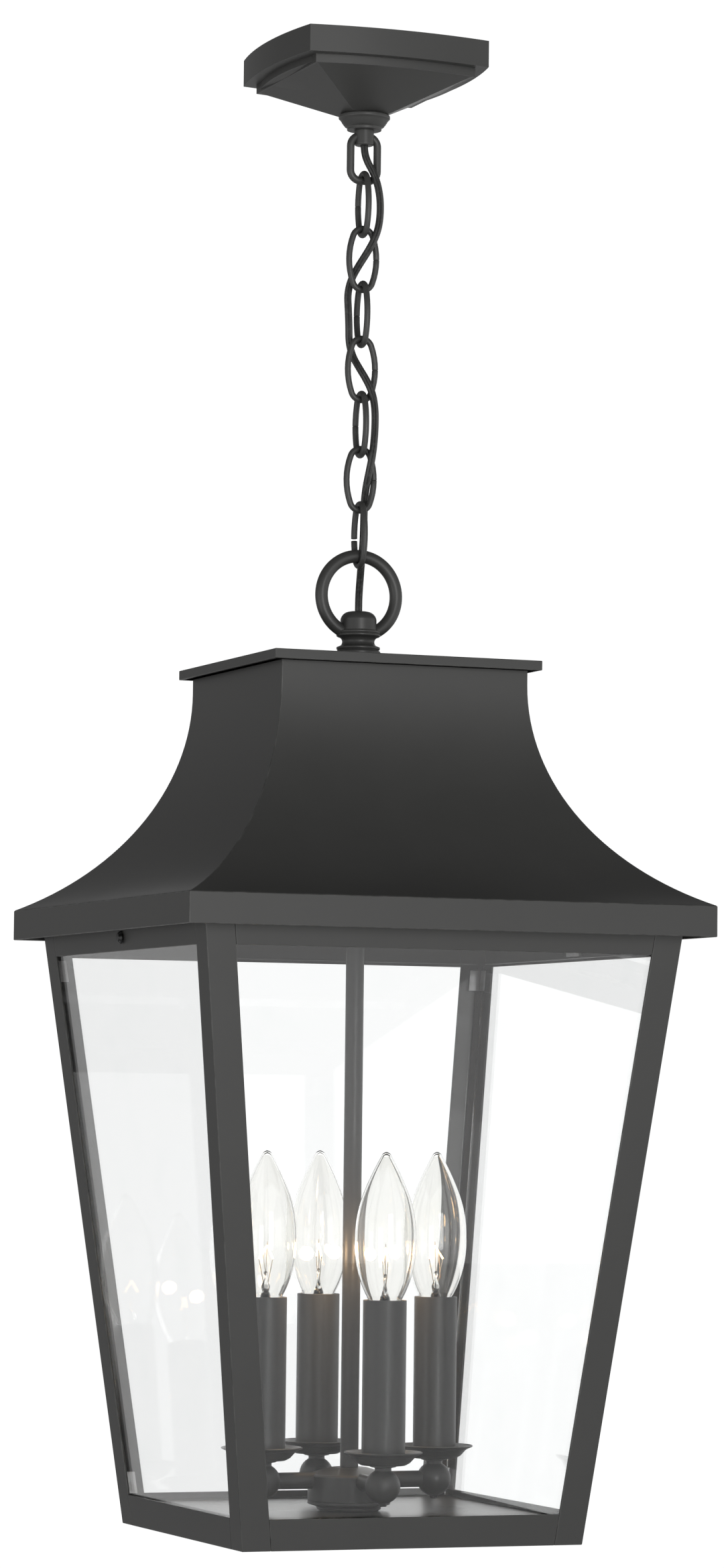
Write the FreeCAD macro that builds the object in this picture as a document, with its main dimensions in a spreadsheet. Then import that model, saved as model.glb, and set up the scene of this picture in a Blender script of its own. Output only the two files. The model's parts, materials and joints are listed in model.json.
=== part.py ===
"""Hanging four-light lantern: ceiling canopy, seven-link chain, supply cord and tapered glass body.

The frame of the model has its origin at the middle of the ceiling plane that the canopy is
screwed to, with +Z up, so everything hangs at negative Z. The broad front face looks along -Y.
Heights inside the lantern are measured up from its own bottom edge and are moved to their
place by the Placement of each sub-part. All sizes are in millimetres.
"""
import FreeCAD, Part
import math
import os
import re

import Sketcher
from FreeCAD import Placement, Rotation, Vector

doc = FreeCAD.newDocument("hanging_lantern")

# --------------------------------------------------------------------------------------------
# Driving dimensions
# --------------------------------------------------------------------------------------------

SIZES = {
    # canopy and ceiling hardware
    "canopy_half": 53.7,          # half of the canopy's side, corner to corner
    "canopy_bow": 5.6,            # how far each side bows outwards
    "canopy_wall": 1.2,
    "canopy_band": 15.0,          # height of the upright band
    "canopy_step": 5.8,           # inset of the second tier
    "canopy_tier": 4.8,           # height of the second tier
    "canopy_lip": 2.0,            # inset where the pyramid starts
    "canopy_depth": 37.0,         # ceiling plane to the pyramid's lower end
    "canopy_neck_half": 11.0,     # half width of the pyramid's lower end
    "strap_length": 104.0,
    "strap_width": 18.0,
    "strap_thick": 2.0,
    "slot_spacing": 88.9,         # hole spacing of a round ceiling box
    "slot_length": 8.0,
    "slot_width": 4.8,
    "earth_screw_place": 22.0,
    "pipe_radius": 5.1,           # threaded lamp pipe and stem tube
    "pipe_bore": 3.6,
    "thread_gap": 0.15,           # radial play of pieces on the lamp pipe
    "nut_flats": 15.0,
    "nut_height": 3.5,
    "collar_radius": 14.6,
    "collar_height": 8.8,
    "collar_foot_radius": 9.8,
    "hub_radius": 5.5,
    "hub_length": 8.7,
    "bail_wire": 4.4,             # wire of the canopy loop
    "bail_width": 20.6,
    "bail_length": 30.1,
    "bail_corner": 6.0,
    # chain
    "link_wire": 3.5,
    "link_length": 38.6,
    "link_width": 20.0,
    "link_end_radius": 6.2,       # wire centre line at a link's ends
    "link_gap": 0.2,              # air between wires that hang in each other
    "seam_gap": 1.2,              # open seam of the last link
    # supply cord
    "cord_diameter": 4.0,
    "cord_gap": 0.3,
    # ring and neck on the cap
    "ring_wire": 7.2,
    "ring_outside": 52.2,
    "ring_over_cap": 39.6,        # ring centre above the cap's top face
    "ring_end_angle": 13.0,       # half of the ring's opening inside the neck
    "neck_base_radius": 12.6,
    "neck_base_height": 11.2,
    "neck_waist_radius": 10.2,
    "neck_collar_radius": 12.4,
    "neck_collar_height": 16.2,
    "neck_dome_radius": 10.2,
    "neck_height": 30.6,
    # cap and roof
    "cap_width": 158.0,
    "cap_height": 5.4,
    "sheet": 1.2,                 # sheet metal of cap, roof and trays
    "roof_top_half": 72.8,
    "roof_straight": 8.0,         # upright stretch of the roof below the cap
    "eave_width": 304.8,
    "fascia_height": 17.0,
    "soffit_half": 126.0,         # opening of the roof's turned-in lip
    "cap_over_base": 485.0,       # cap's top face above the lantern's bottom edge
    "eave_over_base": 331.3,      # fascia's lower edge above the lantern's bottom edge
    # tapered body
    "base_half": 98.8,
    "body_flare": 39.3,           # how much wider one half is at the fascia than at the base
    "frame_over_eave": 3.7,       # how far the frame runs up inside the fascia
    "leg_width": 16.6,
    "leg_thick": 1.5,
    "base_rail_height": 17.0,
    "top_rail_drop": 10.0,        # visible height of the top rails
    "rail_flange": 11.0,
    "plate_drop": 4.0,            # base plate's top face below the rail's top edge
    "glass_thick": 2.5,
    "glass_gap": 0.15,
    "glass_lap": 10.0,            # how far a pane reaches behind a post's leg
    "glass_top_lap": 2.2,         # how far a pane reaches behind the top rail
    "clip_sheet": 0.8,
    "clip_height": 12.0,
    "clip_reach": 5.0,
    "crossbar_width": 18.0,
    "crossbar_thick": 2.0,
    "screw_radius": 2.0,
    "screw_head_radius": 3.6,
    "screw_head_height": 2.2,
    # lamp cluster
    "hub_disc_radius": 23.0,
    "hub_disc_height": 18.5,
    "hub_wall": 2.0,
    "hub_cap_height": 5.5,
    "arm_height": 30.0,           # arm centre line above the lantern's bottom edge
    "arm_radius": 4.65,
    "candle_circle": 51.0,        # radius on which the candles stand
    "ball_radius": 9.6,
    "ball_neck_radius": 4.6,
    "pan_base_height": 41.5,
    "pan_rim_radius": 21.5,
    "pan_rim_height": 48.6,
    "pan_wall": 1.0,
    "sleeve_radius": 12.0,
    "sleeve_wall": 1.1,
    "sleeve_top": 131.6,
    "socket_radius": 10.2,
    "socket_length": 36.0,
    "socket_drop": 2.5,           # socket rim below the sleeve's top
    "lamp_base_radius": 5.95,     # candelabra screw base
    "lamp_base_length": 17.0,
    "lamp_base_gap": 0.15,
    "bulb_radius": 16.9,
    "bulb_neck_radius": 8.6,
    "bulb_belly": 34.0,           # widest point above the sleeve's top
    "bulb_length": 81.0,          # tip above the sleeve's top
    "bulb_glass": 0.8,
}

sheet = doc.addObject("Spreadsheet::Sheet", "sizes")
for row, (name, number) in enumerate(SIZES.items(), start=1):
    sheet.set("A%d" % row, name)
    sheet.set("B%d" % row, str(number))
    sheet.setAlias("B%d" % row, name)
doc.recompute()

# --------------------------------------------------------------------------------------------
# Sizes and places that follow from the driving ones
# --------------------------------------------------------------------------------------------

LINK_COUNT = 7

WORKED_OUT = {
    "collar_top": "-canopy_depth",
    "collar_bottom": "collar_top - collar_height",
    "hub_bottom": "collar_bottom - hub_length",
    "bail_bottom": "collar_bottom - bail_length + bail_wire / 2 - 1",
    "bail_top": "bail_bottom + bail_length - bail_wire",
    "bail_half": "(bail_width - bail_wire) / 2",
    # chain: each hinge is the middle of the upper wire, each pitch is one link less the wires
    "link_half": "(link_length - link_wire) / 2",
    "link_half_width": "(link_width - link_wire) / 2",
    "link_side_radius": "(link_half_width ^ 2 + (link_half - link_end_radius) ^ 2"
                        " - link_end_radius ^ 2) / (2 * (link_half_width - link_end_radius))",
    "link_lean": "(link_side_radius - link_half_width) / (link_side_radius - link_end_radius)",
    "link_rise": "(link_half - link_end_radius) / (link_side_radius - link_end_radius)",
    "link_touch_x": "link_end_radius * link_lean",
    "link_touch_z": "link_half - link_end_radius + link_end_radius * link_rise",
    "link_pitch": "link_length - 2 * link_wire - link_gap",
    "bail_lift": "(bail_wire + link_wire) / 2 + link_gap",
    "link_lift": "link_wire + link_gap",
    "ring_lift": "(ring_wire + link_wire) / 2 + link_gap",
    "first_link_top": "bail_bottom + bail_lift",
    "first_hinge": "bail_bottom",
    "ring_radius": "(ring_outside - ring_wire) / 2",
    "ring_centre": "first_link_top - %d * 2 * link_half + %d * link_lift + ring_lift"
                   " - ring_radius" % (LINK_COUNT, LINK_COUNT - 1),
    "cap_top": "ring_centre - ring_over_cap",
    "base_level": "cap_top - cap_over_base",
    # roof, in heights above the lantern's bottom edge
    "eave_half": "eave_width / 2",
    "fascia_top": "eave_over_base + fascia_height",
    "roof_top": "cap_over_base - sheet",
    "arc_top": "cap_over_base - cap_height - roof_straight",
    "arc_width": "eave_half - roof_top_half",
    "arc_height": "arc_top - fascia_top",
    "roof_arc": "(arc_width ^ 2 + arc_height ^ 2) / (2 * arc_width)",
    "inner_fascia_top": "arc_top - sqrt((roof_arc + sheet) ^ 2"
                        " - (roof_arc - arc_width + sheet) ^ 2)",
    # tapered frame
    "flare": "body_flare / eave_over_base",
    "frame_top": "eave_over_base + frame_over_eave",
    "frame_top_half": "base_half + flare * frame_top",
    "base_rail_half": "base_half + flare * base_rail_height",
    "top_rail_bottom": "eave_over_base - top_rail_drop",
    "top_rail_half": "base_half + flare * top_rail_bottom",
    "plate_top": "base_rail_height - plate_drop",
    "plate_bottom": "plate_top - sheet",
    "plate_half": "base_half + flare * plate_bottom - leg_thick - 0.3",
    "flange_bottom": "plate_bottom - leg_thick",
    "flange_base_half": "base_half + flare * flange_bottom",
    "glass_bottom": "plate_top + 0.2",
    "glass_top": "top_rail_bottom + glass_top_lap",
    "glass_out": "leg_thick + glass_gap",
    "glass_in": "glass_out + glass_thick",
    "glass_bottom_half": "base_half + flare * glass_bottom",
    "glass_top_half": "base_half + flare * glass_top",
    "pane_trim": "leg_width - glass_lap",
    "crossbar_top": "frame_top - 0.2",
    "crossbar_bottom": "crossbar_top - crossbar_thick",
    "crossbar_half": "base_half + flare * glass_top - leg_thick - 0.6",
    "tab_bottom": "glass_top + 1",
    "rail_screw_height": "(tab_bottom + crossbar_bottom) / 2",
    "screw_seat": "base_half + flare * (rail_screw_height + screw_head_radius) + 0.02",
    # stem and cluster
    "stem_top": "cap_over_base + neck_base_height",
    "hub_disc_bottom": "plate_top + hub_cap_height",
    "hub_disc_top": "hub_disc_bottom + hub_disc_height",
    "stem_bottom": "hub_disc_top - hub_wall - nut_height - 2",
    "roof_sheet_bottom": "roof_top - sheet",
    "arm_start": "hub_disc_radius - hub_wall - 3",
    "arm_end": "candle_circle - ball_radius * 0.6",
    "pan_base_radius": "sleeve_radius + pan_wall + 0.2",
    "sleeve_bottom": "pan_base_height + pan_wall",
    "socket_top": "sleeve_top - socket_drop",
    "socket_bottom": "socket_top - socket_length",
    "bulb_tip": "sleeve_top + bulb_length",
    "bulb_widest": "sleeve_top + bulb_belly",
    "bulb_bottom": "socket_top + 0.3",
}

NAMES = {name: "sizes." + name for name in SIZES}


def bound(expression):
    """Spell a short expression with the sheets' names in front of their aliases."""
    return re.sub(r"[a-z_]{3,}", lambda word: NAMES.get(word.group(0), word.group(0)), str(expression))


derived = doc.addObject("Spreadsheet::Sheet", "derived")
for row, (name, formula) in enumerate(WORKED_OUT.items(), start=1):
    derived.set("A%d" % row, name)
    derived.set("B%d" % row, "=" + bound(formula).replace("derived.", ""))
    derived.setAlias("B%d" % row, name)
    NAMES[name] = "derived." + name
doc.recompute()


def size(expression):
    """The number that a short expression stands for."""
    return float(sheet.evalExpression(bound(expression)))


# --------------------------------------------------------------------------------------------
# Sketches, bodies and placements
# --------------------------------------------------------------------------------------------

SUB_PARTS = []


def place(item, level="0", x="0", y="0", turn=0):
    """Put a finished object at a level, turned about Z, and list it as a sub-part."""
    item.Placement = Placement(Vector(size(x), size(y), size(level)), Rotation(Vector(0, 0, 1), turn))
    for axis, expression in (("x", x), ("y", y), ("z", level)):
        if expression != "0":
            item.setExpression("Placement.Base." + axis, bound(expression))
    SUB_PARTS.append(item)
    return item


def new_body(label):
    """A PartDesign body under its own label."""
    body = doc.addObject("PartDesign::Body", label)
    body.Label = label
    return body


def new_sketch(body, name, plane, offset="0"):
    """A sketch on one of a body's own origin planes, moved along its normal by offset."""
    sketch = body.newObject("Sketcher::SketchObject", name)
    support = [item for item in body.Origin.OriginFeatures if item.Role == plane][0]
    sketch.AttachmentSupport = [(support, "")]
    sketch.MapMode = "FlatFace"
    if offset != "0":
        sketch.AttachmentOffset = Placement(Vector(0, 0, size(offset)), Rotation())
        sketch.setExpression("AttachmentOffset.Base.z", bound(offset))
    return sketch


def pin(sketch, geometry, end, corner):
    """Fix one end of a sketch edge at a corner given by two expressions."""
    for axis, kind, line in ((0, "DistanceX", -2), (1, "DistanceY", -1)):
        if corner[axis] == "0":
            sketch.addConstraint(Sketcher.Constraint("PointOnObject", geometry, end, line))
            continue
        number = sketch.addConstraint(
            Sketcher.Constraint(kind, -1, 1, geometry, end, size(corner[axis])))
        sketch.setExpression("Constraints[%d]" % number, bound(corner[axis]))


def outline(sketch, corners):
    """Draw a closed outline. A corner is (u, v), or (u, v, radius, side) when an arc leaves it.

    The side is +1 when the arc's centre is on the left of the way to the next corner.
    """
    ends = []
    for number, corner in enumerate(corners):
        following = corners[(number + 1) % len(corners)]
        start = Vector(size(corner[0]), size(corner[1]), 0)
        stop = Vector(size(following[0]), size(following[1]), 0)
        if len(corner) == 2:
            edge = sketch.addGeometry(Part.LineSegment(start, stop))
            ends.append((edge, 1, 2))
            continue
        radius = size(corner[2])
        chord = stop - start
        left = Vector(-chord.y, chord.x, 0).normalize() * corner[3]
        rise = radius - math.sqrt(radius ** 2 - (chord.Length / 2) ** 2)
        middle = (start + stop) / 2 - left * rise
        edge = sketch.addGeometry(Part.Arc(start, middle, stop))
        forward = sketch.getPoint(edge, 1).distanceToPoint(start) < 1e-6
        ends.append((edge, 1, 2) if forward else (edge, 2, 1))
        number = sketch.addConstraint(Sketcher.Constraint("Radius", edge, radius))
        sketch.setExpression("Constraints[%d]" % number, bound(corner[2]))
    for number, (edge, first, last) in enumerate(ends):
        next_edge, next_first, _ = ends[(number + 1) % len(ends)]
        sketch.addConstraint(Sketcher.Constraint("Coincident", edge, last, next_edge, next_first))
    for (edge, first, _), corner in zip(ends, corners):
        pin(sketch, edge, first, corner)
    return sketch


def disc(sketch, radius, x="0", y="0"):
    """Draw a circle at a centre given by expressions."""
    centre = Vector(size(x), size(y), 0)
    edge = sketch.addGeometry(Part.Circle(centre, Vector(0, 0, 1), size(radius)))
    number = sketch.addConstraint(Sketcher.Constraint("Radius", edge, size(radius)))
    sketch.setExpression("Constraints[%d]" % number, bound(radius))
    pin(sketch, edge, 3, (x, y))
    return sketch


def box_outline(u_low, u_high, v_low, v_high):
    """Corners of a rectangle from its sides."""
    return [(u_low, v_low), (u_high, v_low), (u_high, v_high), (u_low, v_high)]


def bowed_square(half, bow):
    """Corners of a square whose sides bow outwards as arcs."""
    radius = "((%s) ^ 2 + (%s) ^ 2) / (2 * (%s))" % (half, bow, bow)
    low = "-(%s)" % half
    return [(low, low, radius, 1), (half, low, radius, 1), (half, half, radius, 1), (low, half, radius, 1)]


def pad(body, sketch, length, reversed_way=False, cut=False):
    """Pad a sketch, or pocket it, by a length."""
    kind = "PartDesign::Pocket" if cut else "PartDesign::Pad"
    feature = body.newObject(kind, ("pocket_" if cut else "pad_") + sketch.Name)
    feature.Profile = sketch
    feature.Length = size(length)
    feature.setExpression("Length", bound(length))
    feature.Reversed = reversed_way
    return feature


def loft(body, sketches, cut=False):
    """Loft straight between sketches."""
    kind = "PartDesign::SubtractiveLoft" if cut else "PartDesign::AdditiveLoft"
    feature = body.newObject(kind, ("cutting_loft_" if cut else "loft_") + sketches[0].Name)
    feature.Profile = sketches[0]
    feature.Sections = sketches[1:]
    feature.Ruled = True
    return feature


def turned(body, corners, name="profile", cut=False):
    """Turn an outline of (radius, height) corners about Z."""
    sketch = outline(new_sketch(body, body.Name + "_" + name, "XZ_Plane"), corners)
    kind = "PartDesign::Groove" if cut else "PartDesign::Revolution"
    feature = body.newObject(kind, "turn_" + sketch.Name)
    feature.Profile = sketch
    feature.ReferenceAxis = (sketch, ["V_Axis"])
    feature.Angle = 360
    return feature


def ring_outline(inner, outer, low, high):
    """Profile corners of a plain ring or tube."""
    return box_outline(inner, outer, low, high)


def tapered(body, name, low_corners, low, high_corners, high):
    """A straight-sided solid between two level outlines."""
    lower = outline(new_sketch(body, name + "_low", "XY_Plane", low), low_corners)
    upper = outline(new_sketch(body, name + "_high", "XY_Plane", high), high_corners)
    return loft(body, [lower, upper])


def sweep(body, name, path_corners, profile_plane, centre, radius, offset="0"):
    """Sweep a round wire along a closed path that lies in the XZ plane."""
    path = outline(new_sketch(body, name + "_path", "XZ_Plane"), path_corners)
    section = disc(new_sketch(body, name + "_wire", profile_plane, offset), radius, *centre)
    pipe = body.newObject("PartDesign::AdditivePipe", "sweep_" + name)
    pipe.Profile = section
    pipe.Spine = (path, ["Edge%d" % (n + 1) for n in range(len(path_corners))])
    return pipe


def group(label, pieces):
    """One sub-part made of several separate solids."""
    compound = doc.addObject("Part::Compound", label)
    compound.Label = label
    compound.Links = pieces
    return compound


# --------------------------------------------------------------------------------------------
# Ceiling side
# --------------------------------------------------------------------------------------------

def make_canopy():
    """Pressed square canopy with bowed sides, two tiers and a shallow pyramid, open at the top."""
    body = new_body("canopy")
    tier_half = "canopy_half - canopy_step"
    start_half = "canopy_half - canopy_step - canopy_lip"
    tier_bottom = "-canopy_band - canopy_tier"
    outer = outline(new_sketch(body, "band", "XY_Plane"), bowed_square("canopy_half", "canopy_bow"))
    pad(body, outer, "canopy_band", reversed_way=True)
    tier = outline(new_sketch(body, "tier", "XY_Plane"), bowed_square(tier_half, "canopy_bow"))
    pad(body, tier, "canopy_band + canopy_tier", reversed_way=True)
    upper = outline(new_sketch(body, "pyramid_top", "XY_Plane", tier_bottom),
                    bowed_square(start_half, "canopy_bow"))
    lower = outline(new_sketch(body, "pyramid_end", "XY_Plane", "-canopy_depth"),
                    bowed_square("canopy_neck_half", "canopy_bow / 5"))
    loft(body, [upper, lower])
    doc.recompute()
    band_hollow = outline(new_sketch(body, "band_hollow", "XY_Plane"),
                          bowed_square("canopy_half - canopy_wall", "canopy_bow"))
    pad(body, band_hollow, "canopy_band - canopy_wall", cut=True)
    tier_hollow = outline(new_sketch(body, "tier_hollow", "XY_Plane"),
                          bowed_square("%s - canopy_wall" % tier_half, "canopy_bow"))
    pad(body, tier_hollow, "canopy_band + canopy_tier - canopy_wall", cut=True)
    hollow_top = outline(new_sketch(body, "hollow_top", "XY_Plane", tier_bottom + " + canopy_wall"),
                         bowed_square("%s - canopy_wall" % start_half, "canopy_bow"))
    hollow_end = outline(new_sketch(body, "hollow_end", "XY_Plane", "-canopy_depth + canopy_wall"),
                         bowed_square("canopy_neck_half - canopy_wall", "canopy_bow / 5"))
    loft(body, [hollow_top, hollow_end], cut=True)
    hole = disc(new_sketch(body, "canopy_hole", "XY_Plane"), "pipe_radius + thread_gap")
    pad(body, hole, "canopy_depth + 1", cut=True)
    return place(body)


def make_strap():
    """Flat mounting strap with two slots for the ceiling box's screws and a hole for the pipe."""
    body = new_body("mounting_strap")
    flat = outline(new_sketch(body, "strap", "XY_Plane"),
                   box_outline("-strap_length / 2", "strap_length / 2", "-strap_width / 2",
                               "strap_width / 2"))
    pad(body, flat, "strap_thick", reversed_way=True)
    doc.recompute()
    straight = "(slot_length - slot_width) / 2"
    for name, sign in (("left", "-"), ("right", "")):
        middle = sign + "slot_spacing / 2"
        low, high = "%s - %s" % (middle, straight), "%s + %s" % (middle, straight)
        slot = new_sketch(body, "slot_" + name, "XY_Plane")
        outline(slot, [(low, "-slot_width / 2"), (high, "-slot_width / 2"),
                       (high, "slot_width / 2"), (low, "slot_width / 2")])
        pad(body, slot, "strap_thick", cut=True)
        for end_name, end in (("inner", low), ("outer", high)):
            round_end = disc(new_sketch(body, "slot_%s_%s" % (name, end_name), "XY_Plane"),
                             "slot_width / 2", end, "0")
            pad(body, round_end, "strap_thick", cut=True)
    bore = disc(new_sketch(body, "strap_bore", "XY_Plane"), "pipe_radius + thread_gap")
    pad(body, bore, "strap_thick", cut=True)
    tapping = disc(new_sketch(body, "earth_hole", "XY_Plane"), "screw_radius + thread_gap",
                   "earth_screw_place", "0")
    pad(body, tapping, "strap_thick", cut=True)
    return place(body)


def make_ceiling_pipe():
    """Short threaded lamp pipe between the strap and the screw collar."""
    body = new_body("ceiling_pipe")
    turned(body, ring_outline("pipe_bore", "pipe_radius", "collar_bottom + 3.6", "-0.4"))
    return place(body)


def hex_nut(label, level):
    """A hexagon nut for the lamp pipe that sits on top of a level."""
    body = new_body(label)
    corner = "nut_flats / sqrt(3)"
    half_corner = "nut_flats / sqrt(3) / 2"
    sketch = outline(new_sketch(body, label + "_hexagon", "XY_Plane"), [
        (corner, "0"), (half_corner, "nut_flats / 2"), ("-" + half_corner, "nut_flats / 2"),
        ("-" + corner, "0"), ("-" + half_corner, "-nut_flats / 2"), (half_corner, "-nut_flats / 2")])
    pad(body, sketch, "nut_height")
    doc.recompute()
    bore = disc(new_sketch(body, label + "_bore", "XY_Plane"), "pipe_radius + thread_gap")
    pad(body, bore, "nut_height", reversed_way=True, cut=True)
    body.Placement = Placement(Vector(0, 0, size(level)), Rotation())
    body.setExpression("Placement.Base.z", bound(level))
    return body


def button_screw(label, x, y, level, direction, length):
    """A domed screw whose shank points along a direction ("-X", "+X" or "+Z")."""
    body = new_body(label)
    turned(body, [("0", "0"), ("screw_radius", "0"), ("screw_radius", length),
                  ("0", length)], "shank")
    turned(body, [("0", "-screw_head_height"), ("screw_head_radius * 0.6", "-screw_head_height"),
                  ("screw_head_radius", "-screw_head_height * 0.35"), ("screw_head_radius", "0"),
                  ("0", "0")], "head")
    turns = {"+X": Rotation(Vector(0, 1, 0), 90), "-X": Rotation(Vector(0, 1, 0), -90),
             "+Z": Rotation(), "-Y": Rotation(Vector(1, 0, 0), 90), "+Y": Rotation(Vector(1, 0, 0), -90)}
    body.Placement = Placement(Vector(size(x), size(y), size(level)), turns[direction])
    for axis, expression in (("x", x), ("y", y), ("z", level)):
        if expression != "0":
            body.setExpression("Placement.Base." + axis, bound(expression))
    return body


def make_collar():
    """Cup-shaped screw collar that pulls the canopy to the ceiling."""
    body = new_body("screw_collar")
    bore = "pipe_radius + thread_gap"
    turned(body, [(bore, "collar_top"), ("collar_radius - 0.8", "collar_top"),
                  ("collar_radius", "collar_top - 0.8"), ("collar_radius", "collar_top - 2.2"),
                  ("collar_radius - 1", "collar_top - 3"),
                  ("collar_foot_radius + 1.2", "collar_bottom + 2", "collar_height * 2", -1),
                  ("collar_foot_radius", "collar_bottom + 1.4"),
                  ("collar_foot_radius", "collar_bottom"), (bore, "collar_bottom")])
    return place(body)


def make_canopy_loop():
    """Hub with a rounded bail below the collar; the supply cord leaves through its bore."""
    body = new_body("canopy_loop")
    inside = "bail_half - bail_corner"
    low, high = "bail_bottom", "bail_top"
    path = [(inside, low, "bail_corner", 1), ("bail_half", low + " + bail_corner"),
            ("bail_half", high + " - bail_corner", "bail_corner", 1), (inside, high),
            ("-(%s)" % inside, high, "bail_corner", 1), ("-bail_half", high + " - bail_corner"),
            ("-bail_half", low + " + bail_corner", "bail_corner", 1), ("-(%s)" % inside, low)]
    sweep(body, "bail", path, "XY_Plane", ("bail_half", "0"), "bail_wire / 2",
          "(bail_bottom + bail_top) / 2")
    turned(body, [("0", "hub_bottom"), ("hub_radius - 0.6", "hub_bottom"),
                  ("hub_radius", "hub_bottom + 0.6"), ("hub_radius", "collar_bottom"),
                  ("pipe_radius", "collar_bottom"), ("pipe_radius", "collar_bottom + 3.2"),
                  ("0", "collar_bottom + 3.2")], "hub")
    turned(body, ring_outline("0", "cord_diameter / 2 + cord_gap", "hub_bottom - 0.5",
                              "collar_bottom + 3.7"), "bore", cut=True)
    return place(body)


# --------------------------------------------------------------------------------------------
# Chain and supply cord
# --------------------------------------------------------------------------------------------

def link_top(index):
    """Level of a link's upper wire centre, as an expression."""
    return "first_link_top - %d * link_pitch" % index


def hinge_level(index):
    """Level of hinge number index: 0 is the canopy loop's lower wire, 7 the last link's."""
    if index == 0:
        return "first_hinge"
    return "%s - 2 * link_half" % link_top(index - 1)


def make_link(index):
    """An oval chain link of four tangent arcs; odd links are turned a quarter."""
    body = new_body("chain_link_%d" % (index + 1))
    x, z = "link_touch_x", "link_touch_z"
    path = [(x, z, "link_end_radius", 1), ("-" + x, z, "link_side_radius", 1),
            ("-" + x, "-" + z, "link_end_radius", 1), (x, "-" + z, "link_side_radius", 1)]
    sweep(body, "link%d" % index, path, "XY_Plane", ("link_half_width", "0"), "link_wire / 2")
    if index == LINK_COUNT - 1:
        doc.recompute()
        seam = outline(new_sketch(body, "seam", "XZ_Plane"),
                       box_outline("link_half_width - link_wire", "link_half_width + link_wire",
                                   "-seam_gap / 2 - 2", "seam_gap / 2 - 2"))
        feature = pad(body, seam, "link_wire * 2", cut=True)
        feature.Midplane = True
    return place(body, "%s - link_half" % link_top(index), turn=90 if index % 2 == 0 else 0)


# The cord's route from the loop's bore, weaving through and beside the links, to the neck.
CORD_ROUTE = [
    (0.0, 0.0, -50.9), (0.0, -0.2, -57.5), (1.4, -1.7, -63.8), (3.9, -4.2, -69.6), (6.1, -5.9, -76.4),
    (8.0, -5.7, -85.0), (8.6, -4.6, -94.0), (7.4, -4.9, -102.2), (4.7, -4.3, -109.8), (1.4, -1.5, -116.8),
    (-2.1, 1.8, -123.6), (-5.1, 4.7, -130.6), (-6.8, 5.7, -138.8), (-6.7, 4.3, -148.2),
    (-6.4, 3.8, -157.8), (-5.9, 4.9, -166.4), (-4.0, 4.3, -174.2), (-1.0, 1.3, -181.2),
    (2.2, -2.1, -188.2), (4.9, -4.9, -195.8), (6.5, -5.3, -204.8), (7.2, -3.9, -214.4),
    (6.6, -4.0, -224.0), (5.2, -5.0, -232.4), (4.3, -3.3, -240.0), (4.0, 0.2, -247.4),
    (4.3, 3.8, -254.8), (4.9, 5.9, -263.0), (4.8, 5.9, -272.4), (4.7, 6.5, -281.6),
    (4.2, 7.2, -290.6), (3.0, 5.6, -299.0), (1.2, 2.4, -306.8), (0.1, 0.4, -314.4), (0.0, 0.0, -323.4),
]


def cord_wire(points):
    """Straight runs joined by tangent arcs, as large as their runs allow."""
    vectors = [Vector(*point) for point in points]
    edges, radii, start = [], [], vectors[0]
    for before, corner, after in zip(vectors, vectors[1:], vectors[2:]):
        incoming, outgoing = corner - before, after - corner
        turn = incoming.getAngle(outgoing)
        reach = 0.45 * min(incoming.Length, outgoing.Length)
        radii.append(reach / math.tan(turn / 2))
        into = corner - incoming.normalize() * reach
        out = corner + outgoing.normalize() * reach
        bend = corner + ((into - corner) + (out - corner)).normalize() * (
            radii[-1] / math.cos(turn / 2) - radii[-1])
        edges.append(Part.LineSegment(start, into).toShape())
        edges.append(Part.Arc(into, bend, out).toShape())
        start = out
    edges.append(Part.LineSegment(start, vectors[-1]).toShape())
    return Part.Wire(edges), radii


def make_cord():
    """The supply cord as one tube, parted at the hinge levels into a span for each body."""
    radius = size("cord_diameter") / 2
    wire, radii = cord_wire(CORD_ROUTE)
    first = wire.OrderedEdges[0]
    section = Part.Wire(Part.Circle(first.valueAt(0), first.tangentAt(0), radius).toShape())
    tube = wire.makePipeShell([section], True, False)
    expected = math.pi * radius ** 2 * wire.Length
    print("cord: length %.1f, volume %.1f of %.1f" % (wire.Length, tube.Volume, expected))
    print("cord: radii", ", ".join("%.0f" % value for value in radii))
    assert abs(tube.Volume / expected - 1) < 0.01, "the cord's tube has the wrong volume"
    levels = [0.0] + [size(hinge_level(n)) for n in range(LINK_COUNT + 1)] + [size("cap_top")]
    reach = size("eave_width")
    for number, (high, low) in enumerate(zip(levels, levels[1:])):
        slab = Part.makeBox(reach, reach, high - low, Vector(-reach / 2, -reach / 2, low))
        span = doc.addObject("Part::Feature", "cord_span_%d" % number)
        span.Label = span.Name
        span.Shape = tube.common(slab)
        span.Placement = Placement()
        SUB_PARTS.append(span)


# --------------------------------------------------------------------------------------------
# Ring, neck, cap and roof
# --------------------------------------------------------------------------------------------

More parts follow.
